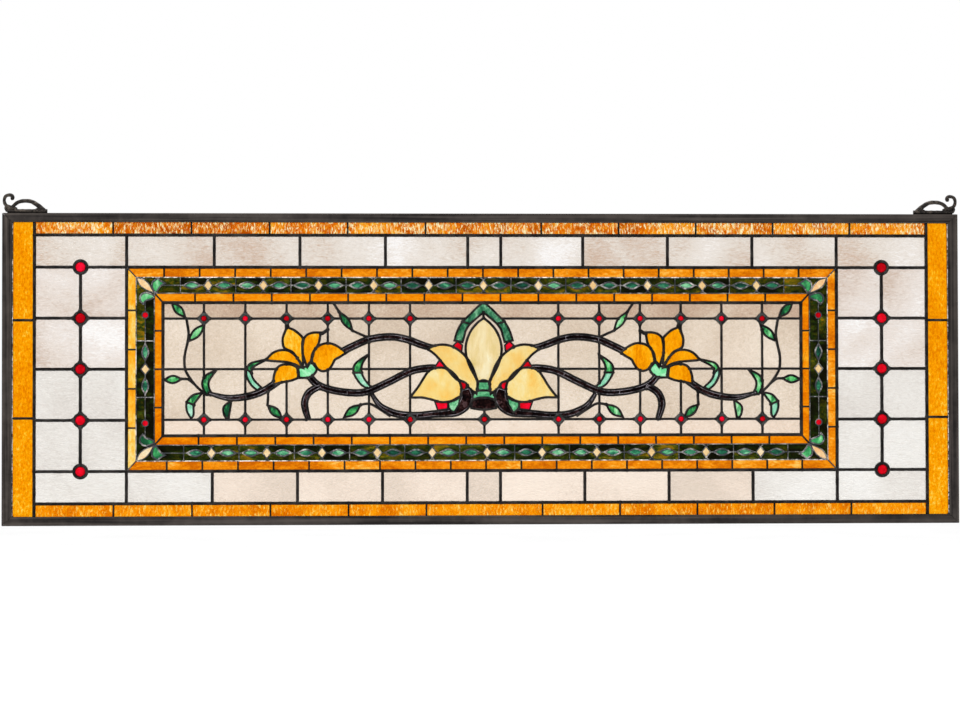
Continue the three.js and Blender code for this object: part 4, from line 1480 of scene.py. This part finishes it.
def band_glasses():
    return {
        "band": art_glass(
            "band_glass",
            [(0.08, 8, 8, 7), (0.36, 16, 20, 10), (0.46, 30, 56, 12), (0.54, 18, 20, 10),
             (0.66, 84, 80, 12), (0.76, 20, 16, 10), (0.9, 58, 84, 22), (1.0, 136, 104, 14)],
            stretch=(0.45, 1, 1), broad=120.0, grain=420.0, gains=(2.4, 0.9), spread=0.6,
        ),
        "lens": art_glass(
            "lens_green_glass",
            [(0.05, 18, 50, 42), (0.45, 42, 116, 86), (0.7, 76, 164, 118), (1.0, 156, 220, 172)],
            stretch=(0.5, 1, 1), broad=150.0, grain=420.0, gains=(2.2, 1.6), spread=0.6,
        ),
        "corner_leaf": art_glass(
            "corner_leaf_glass",
            [(0.05, 22, 74, 50), (0.45, 56, 150, 88), (0.7, 92, 196, 118), (1.0, 176, 232, 186)],
            stretch=(1, 1, 0.6), broad=110.0, grain=420.0, gains=(2.0, 1.0), spread=0.5,
        ),
        "diamond": art_glass(
            "peach_diamond_glass",
            [(0.1, 236, 196, 132), (0.6, 250, 218, 164), (0.95, 253, 238, 208)],
        ),
        "cream": art_glass(
            "corner_cream_glass",
            [(0.1, 244, 180, 120), (0.5, 250, 214, 160), (0.9, 250, 238, 206)],
            stretch=EVEN, broad=130.0, grain=420.0, gains=(2.0, 0.6),
        ),
    }


def picture_glasses():
    upright = (1, 1, 0.3)
    return {
        "petal_centre": art_glass(
            "centre_petal_glass",
            [(0.05, 224, 198, 124), (0.5, 240, 218, 164), (0.95, 248, 240, 206)],
            stretch=upright, broad=90.0, grain=420.0, gains=(2.0, 0.7), spread=0.0,
        ),
        "petal_inner": art_glass(
            "inner_petal_glass",
            [(0.05, 244, 188, 88), (0.45, 246, 209, 122), (0.95, 244, 228, 170)],
            stretch=(1, 1, 0.7), broad=60.0, grain=420.0, gains=(1.8, 0.6), spread=0.0,
        ),
        "petal_outer": art_glass(
            "outer_petal_glass",
            [(0.05, 250, 194, 80), (0.45, 247, 215, 130), (0.95, 247, 236, 186)],
            stretch=(1, 1, 0.6), broad=60.0, grain=420.0, gains=(2.0, 0.6), spread=0.0,
        ),
        "orange": art_glass(
            "orange_petal_glass",
            [(0.05, 232, 134, 0), (0.45, 251, 163, 6), (0.8, 254, 178, 16), (1.0, 255, 208, 84)],
            stretch=(1, 1, 0.5), broad=64.0, grain=480.0, gains=(2.0, 1.8), spread=0.15,
        ),
        "leaf": art_glass(
            "leaf_green_glass",
            [(0.05, 14, 58, 42), (0.35, 44, 130, 74), (0.6, 88, 196, 106), (0.95, 182, 240, 188)],
            stretch=(1, 1, 0.5), broad=170.0, grain=500.0, gains=(2.4, 1.2), spread=0.6,
        ),
        "pale_leaf": art_glass(
            "pale_leaf_glass",
            [(0.1, 96, 186, 140), (0.5, 150, 222, 186), (0.9, 206, 244, 222)],
            stretch=(1, 1, 0.7), broad=170.0, grain=500.0, gains=(1.8, 1.0), spread=0.3,
        ),
        "arch_green": art_glass(
            "arch_green_glass",
            [(0.05, 14, 62, 44), (0.5, 60, 132, 92), (0.95, 150, 206, 166)],
            stretch=(1, 1, 0.6), broad=170.0, grain=520.0, gains=(2.4, 1.4), spread=0.2,
        ),
        "calyx_green": art_glass(
            "calyx_green_glass",
            [(0.05, 44, 126, 82), (0.5, 100, 186, 130), (0.95, 176, 232, 190)],
            stretch=EVEN, broad=180.0, grain=520.0, gains=(2.0, 1.2), spread=0.3,
        ),
        "mint": art_glass(
            "mint_glass",
            [(0.05, 84, 204, 140), (0.5, 140, 236, 166), (0.95, 214, 252, 228)],
            stretch=EVEN, broad=110.0, grain=420.0, gains=(2.0, 0.8), spread=0.3,
        ),
        "black": art_glass(
            "vine_black_glass",
            [(0.1, 6, 4, 5), (0.5, 17, 9, 10), (0.75, 40, 20, 19), (1.0, 78, 58, 60)],
            stretch=EVEN, broad=90.0, grain=520.0, gains=(2.0, 1.6), spread=0.1, transmission=0.2,
            ripple=0.5,
        ),
        "red": jewel_glass(
            "red_jewel_glass",
            [(0.1, 178, 5, 18), (0.5, 222, 12, 32), (0.9, 242, 18, 56)],
        ),
    }


def metals():
    rail = dict(dark=(28, 25, 24), light=(72, 66, 62), scale=24.0, rough=(0.3, 0.5), reach=(0.1, 0.9))
    return {
        "lead": metal_with_patina_and_glints("lead_patina", dark=(12, 10, 10), light=(44, 41, 39), scale=90.0),
        "boss": metal_with_patina_and_glints("boss_patina", dark=(24, 26, 26), light=(68, 71, 69), scale=150.0),
        "jewel_boss": metal_with_patina_and_glints(
            "jewel_boss_patina", dark=(14, 14, 14), light=(50, 51, 50), scale=190.0,
        ),
        # Painted highlight: its bright patches stand in for the sheen along the vine edges and their joints.
        "glint": metal_with_patina_and_glints(
            "vine_painted_highlight", dark=(28, 26, 28), light=(176, 168, 176), scale=110.0,
            rough=(0.25, 0.5), reach=(0.4, 0.95),
        ),
        # Silvery fine cames of the band; their brightest patches are painted glints where the cames reflect
        # light.
        "silver": metal_with_patina_and_glints(
            "tinned_lead_painted_glints", dark=(58, 60, 64), light=(216, 210, 206), scale=120.0, rough=(0.2, 0.45),
            reach=(0.5, 1.0),
        ),
        # Painted highlight: bright solder that stands in for light caught along the sight edges and the
        # band's outer lead.
        "bright": metal_with_patina_and_glints(
            "solder_painted_highlight", dark=(64, 62, 64), light=(240, 234, 228), scale=170.0, rough=(0.2, 0.45),
            reach=(0.4, 0.72),
        ),
        "rail": metal_with_patina_and_glints("rail_patina", **rail, brushing=(0.02, 1, 1)),
        "upright_rail": metal_with_patina_and_glints("upright_rail_patina", **rail, brushing=(1, 1, 0.02)),
        "hook": metal_with_patina_and_glints(
            "hook_iron", dark=(22, 19, 18), light=(84, 76, 68), scale=260.0, rough=(0.35, 0.6),
            reach=(0.42, 0.82), metallic=0.8, strength=0.5,
        ),
    }


def make_materials():
    return {**amber_glasses(), **pale_glasses(), **band_glasses(), **picture_glasses(), **metals()}


SLOT_KINDS = {
    "amber_glass": ("amber_side", "amber_top", "amber_bottom"),
    "gold_glass": ("outer_gold", "left_gold", "inner_gold"),
    "clear_glass": ("clear_top", "clear_side", "clear_bottom", "clear_plain"),
    "field_glass": ("field", "field_top", "field_low"),
    "green_glass": ("lens", "corner_leaf", "leaf", "arch_green", "calyx_green"),
    "cream_glass": ("diamond", "cream", "petal_centre", "petal_inner", "petal_outer"),
    "mint_glass": ("mint", "pale_leaf"), "orange_glass": ("orange",), "red_glass": ("red",),
    "band_glass": ("band", "black"), "lead": ("solder",),
}
SLOTS = {kind: slot for slot, kinds in SLOT_KINDS.items() for kind in kinds}

RAILS = "top", "bottom", "left", "right"
REPLACED = {
    "amber_side_tiles": ["amber_glass_left", "amber_glass_right"],
    "amber_top_tiles": ["amber_glass_top"],
    "amber_bottom_tiles": ["amber_glass_bottom"],
    "clear_panes": ["clear_border_glass"],
    "outer_gold_tiles": [f"outer_gold_line_{side}" for side in RAILS],
    "inner_gold_tiles": [f"inner_gold_line_{side}" for side in RAILS],
    "band_glass": ["green_band"],
    "field_panes": [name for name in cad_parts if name.startswith("field_glass")],
}


# Glass and lead of the panel

def piece_name(name):
    """Scene pieces that stand for one CAD node alone get its name with a suffix."""
    return f"{name}_glass_piece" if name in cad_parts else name


def make_glass(drawing, plane, materials):
    builds = {}
    for region in plane.regions():
        name, kind = named(region, drawing.shapes)
        if kind == "boss" or region.area < SMALLEST_AREA or is_beyond(*region.spot, SHEET):
            continue
        build, _ = builds.setdefault(name, (Build(), kind))
        face = SOLDER_FILL_FACE if kind == "solder" else GLASS_FACE
        add_slab(build, region, plane.places, face, randomly.random())
    for name, (build, kind) in builds.items():
        material = materials["lead" if kind == "solder" else kind]
        made = build.piece(piece_name(name), material, SLOTS[kind])
        nodes = REPLACED.get(name, [name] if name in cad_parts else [])
        if nodes:
            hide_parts(*nodes)


LEAD_LOOKS = {
    "borders": "lead", "picture": "lead", "vine_edges": "lead", "vine_glints": "glint", "band": "silver",
    "grid": "lead", "bosses": "boss", "jewel_bosses": "jewel_boss", "painted_highlight_lines": "bright",
}


def make_leads(drawing, plane, materials):
    builds = {group: Build() for group in LEAD_LOOKS}
    for lead in drawing.leads + drawing.extras:
        add_bead(builds[lead.group], lead)
    add_solder_joints(builds["grid"], plane)
    for x, z in SMALL_JEWELS:
        outline, hole = boss_outlines(x, z, lozenge_reach, SMALL_JEWEL_RADIUS)
        add_bosses(builds["bosses"], outline, hole, SMALL_BOSS_RISE)
    for x, z, row in LARGE_JEWELS:
        reach_at = pointed_reach if 0 < row < len(JEWEL_ROWS) - 1 else round_reach
        outline, hole = boss_outlines(x, z, reach_at, JEWEL_RADIUS)
        add_bosses(builds["jewel_bosses"], outline, hole, BOSS_RISE)
    for group, build in builds.items():
        made = build.piece(f"lead_{group}", materials[LEAD_LOOKS[group]], "lead", is_smooth=True)
        if group == "borders":
            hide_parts("lead_net")


JOINT_SPACING = 3.0
SMALLEST_JOINT = 1.5
LARGEST_JOINT = 1.95


def by_the_band(x, z):
    """Whether a place is on the fine leads of the band."""
    is_within = not is_beyond(x, z, BAND_OUTER_LINE, BAND_LEAD)
    return is_within and is_beyond(x, z, BAND_INNER_LINE, -BAND_LEAD)


def add_solder_joints(build, plane):
    """Small lumps of solder where three or more leads meet."""
    meeting = {}
    for edge in plane.cut_edges:
        for end in edge:
            meeting[end] = meeting.get(end, 0) + 1
    taken = []
    for index in sorted(meeting):
        x, z = plane.places[index]
        if meeting[index] < 3 or by_the_band(x, z) or is_beyond(x, z, SIGHT, -1):
            continue
        if any(abs(x - tx) < JOINT_SPACING and abs(z - tz) < JOINT_SPACING for tx, tz in taken):
            continue
        taken.append((x, z))
        radius = randomly.uniform(SMALLEST_JOINT, LARGEST_JOINT)
        add_domes(build, x, z, radius, LEAD_BASE, SOLDER_RISE, rings=3, count=10)


BOSS_POINTS = 32


def boss_outlines(x, z, reach_at, jewel_radius):
    """The outline of a boss, from its reach at each angle, and the round hole for its jewel."""
    outline, hole = [], []
    hole_radius = jewel_radius - BOSS_OVERLAP
    for i in range(BOSS_POINTS):
        angle = 2 * math.pi * i / BOSS_POINTS
        c, s, reach = math.cos(angle), math.sin(angle), reach_at(angle)
        outline.append((x + c * reach, z + s * reach))
        hole.append((x + c * hole_radius, z + s * hole_radius))
    return outline, hole


def lozenge_reach(angle):
    """A lozenge with drawn-in sides, as the bosses of the small jewels are."""
    c, s = abs(math.cos(angle)), abs(math.sin(angle))
    sides = c ** SMALL_BOSS_ROUNDNESS + s ** SMALL_BOSS_ROUNDNESS
    return SMALL_BOSS / sides ** (1 / SMALL_BOSS_ROUNDNESS)


def round_reach(angle):
    """A round boss reaches equally far at every angle."""
    return BOSS_RADIUS


def pointed_reach(angle):
    """A round boss with four points, where its leads run in."""
    point = max(0.0, math.cos(4 * angle)) ** 2
    return POINTED_BOSS_RADIUS + (POINTED_BOSS_REACH - POINTED_BOSS_RADIUS) * point


def make_jewels(materials):
    build, radius, height = Build(), SMALL_JEWEL_RADIUS, SMALL_JEWEL_HEIGHT
    for x, z in SMALL_JEWELS:
        add_domes(build, x, z, radius, SMALL_JEWEL_BASE, height, rings=5, count=16, flat=0.25)
    build.piece("small_red_jewels", materials["red"], "red_glass", is_smooth=True)
    for x, z, row in LARGE_JEWELS:
        side = "right" if x > 0 else "left"
        build = Build()
        add_domes(build, x, z, JEWEL_RADIUS, JEWEL_BASE, JEWEL_HEIGHT, rings=8, count=32, flat=0.15)
        made = build.piece(f"dome_{side}_{row + 1}", materials["red"], "red_glass", is_smooth=True)
        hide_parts(f"jewel_{side}_{row + 1}")


# Frame rails and hooks

RAIL_BEVEL = 0.0005


def dress_rails(materials):
    for side in RAILS:
        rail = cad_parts[f"rail_{side}"]
        rail.data.materials.clear()
        look = "rail" if side in ("top", "bottom") else "upright_rail"
        rail.data.materials.append(materials[look])
        bevel = rail.modifiers.new("softened edges", "BEVEL")
        bevel.width = RAIL_BEVEL
        bevel.segments = 3
        bevel.limit_method = "ANGLE"


# A scroll hook: points from the end of the frame inwards and up from the top rail
HOOK_CURL = [
    (9, 5.4), (6, 6), (3.2, 7.4), (1.8, 9.8), (1.55, 12.9), (2.9, 15.9), (6, 17), (8.5, 16.5),
    (9.4, 15), (9, 13.8), (7.6, 13.4),
]
HOOK_CURL_WIDTHS = [3.6, 3.5, 3.4, 3.3, 3.1, 3.3, 3.4, 3.5, 3.8, 3.8, 2.6]
HOOK_ARCH = [
    (7, 3.4), (12.5, 9), (16.8, 11), (21.9, 11.5), (26.9, 10.8), (31.4, 8.3), (35.8, 4.9), (40.6, 1.6),
]
HOOK_ARCH_WIDTHS = [3.6, 3.6, 3.8, 3.9, 4, 4.5, 4.8, 2.8]
HOOK_NECK = [(3.6, 7.4), (3, 4.4), (4.4, 1.7)]
HOOK_NECK_WIDTHS = [3.0, 3.0]
HOOK_FILLS = [([(4.6, 4.2), (9.6, 4.9), (13, 3.4)], 3.6), ([(31, 3), (35, 3.6), (39, 2.6)], 3.2)]
HOOK_DEPTH = 5.0
HOOK_WIRE_DEPTH = 4.4
HOOK_BASE_HEIGHT = 3.9
HOOK_BASE_START = 4.4
HOOK_BASE_STEP = 3.72
HOOK_BASE_STEPS = 11
HOOK_SIDES = 14
ROPE_TURNS = 0.55
ROPE_DEPTH = 0.07


def rope_rings(points, widths, depth):
    """Rings of a bar along a line, with grooves that wind round it like the strands of a rope."""
    line = smooth(points)
    rings, travelled = [], 0.0
    for i, (point, width) in enumerate(zip(line, spread_along(widths, len(line)))):
        before, after = neighbours(line, i)
        if i:
            travelled += math.hypot(point[0] - before[0], point[1] - before[1])
        ring = []
        for side in range(HOOK_SIDES):
            angle = 2 * math.pi * side / HOOK_SIDES
            swell = 1 - ROPE_DEPTH * (0.5 + 0.5 * math.cos(2 * angle - ROPE_TURNS * travelled * 2))
            x, z = shifted(before, point, after, width / 2 * math.cos(angle) * swell)
            ring.append((x, z, depth / 2 * math.sin(angle) * swell))
        rings.append(ring)
    return rings


def make_hooks(materials):
    base = [(HOOK_BASE_START + i * HOOK_BASE_STEP, HOOK_BASE_HEIGHT / 2) for i in range(HOOK_BASE_STEPS)]
    bars = [
        (HOOK_CURL, HOOK_CURL_WIDTHS, HOOK_WIRE_DEPTH), (HOOK_ARCH, HOOK_ARCH_WIDTHS, HOOK_DEPTH),
        (HOOK_NECK, HOOK_NECK_WIDTHS, HOOK_WIRE_DEPTH), (base, [HOOK_BASE_HEIGHT] * 2, HOOK_DEPTH),
    ]
    bars += [(line, [width] * 2, HOOK_WIRE_DEPTH) for line, width in HOOK_FILLS]
    for side, sign in (("left", -1), ("right", 1)):
        build = Build()
        for bar in bars:
            rings = [
                [place(sign * (OUTSIDE[0] - x), OUTSIDE[1] + z, n) for x, z, n in ring]
                for ring in rope_rings(*bar)
            ]
            build.add_bar(rings, False, PLAIN_TINT, sign == 1)
        made = build.piece(f"{side}_hook", materials["hook"], "hook_iron", is_smooth=True)
        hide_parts(f"scroll_hook_{side}")


# Floor, light and camera

FLOOR_DROP = 0.62
FLOOR_REACH = 12.0
CAMERA_DISTANCE = 2.5
CAMERA_TURN = math.radians(2.52)
CAMERA_RISE = -0.049
CAMERA_ROLL = -0.0018
FOCAL_LENGTH = 99.4
AIM_SIDE = -0.0034
AIM_RISE = 0.0084


def make_floor():
    mesh = bpy.data.meshes.new("floor")
    corners = rectangle(FLOOR_REACH, FLOOR_REACH)
    mesh.from_pydata([(x, y, -FLOOR_DROP) for x, y in corners], [], [(0, 1, 2, 3)])
    nodes = Nodes("pale_floor")
    speckle = nodes.cloud(nodes.coordinates, scale=3.0)
    colour = nodes.ramp(speckle, [(0.3, 250, 250, 250), (0.7, 254, 254, 254)])
    nodes.set(Base_Color=colour, Roughness=0.9)
    mesh.materials.append(nodes.material)
    floor = bpy.data.objects.new("floor", mesh)
    bpy.context.scene.collection.objects.link(floor)


def make_world():
    world = bpy.data.worlds.new("studio")
    world.use_nodes = True
    background = world.node_tree.nodes["Background"]
    background.inputs["Color"].default_value = (1, 1, 1, 1)
    background.inputs["Strength"].default_value = 1.0
    bpy.context.scene.world = world
    bpy.context.scene.view_settings.view_transform = "Standard"


def aimed(thing, position, target):
    thing.location = position
    thing.rotation_euler = (Vector(target) - Vector(position)).to_track_quat("-Z", "Y").to_euler()
    bpy.context.scene.collection.objects.link(thing)


def make_light(name, position, target, size, power):
    lamp = bpy.data.lights.new(name, "AREA")
    lamp.shape = "SQUARE"
    lamp.size = size
    lamp.energy = power
    aimed(bpy.data.objects.new(name, lamp), position, target)


def make_camera():
    camera = bpy.data.objects.new("camera", bpy.data.cameras.new("camera"))
    camera.data.lens = FOCAL_LENGTH
    middle = place(0, 0, 0)
    offset = Vector((-math.sin(CAMERA_TURN), -math.cos(CAMERA_TURN), 0)) * CAMERA_DISTANCE
    position = middle + offset + Vector((0, 0, CAMERA_RISE))
    aimed(camera, position, middle + Vector((AIM_SIDE, 0, AIM_RISE)))
    camera.rotation_euler.rotate_axis("Z", CAMERA_ROLL)
    bpy.context.scene.camera = camera


def make_stage():
    make_floor()
    make_world()
    middle = place(0, 0, 0)
    make_light("key_light", (-1.1, -1.8, 1.5), middle, size=1.6, power=30.0)
    make_light("top_light", (0.4, 0.6, 2.4), (0.0, 0.6, -FLOOR_DROP), size=3.0, power=60.0)
    make_camera()


drawing = Drawing()
plane = Plane(cut_lines(drawing))
materials = make_materials()
make_glass(drawing, plane, materials)
make_leads(drawing, plane, materials)
make_jewels(materials)
dress_rails(materials)
make_hooks(materials)
make_stage()
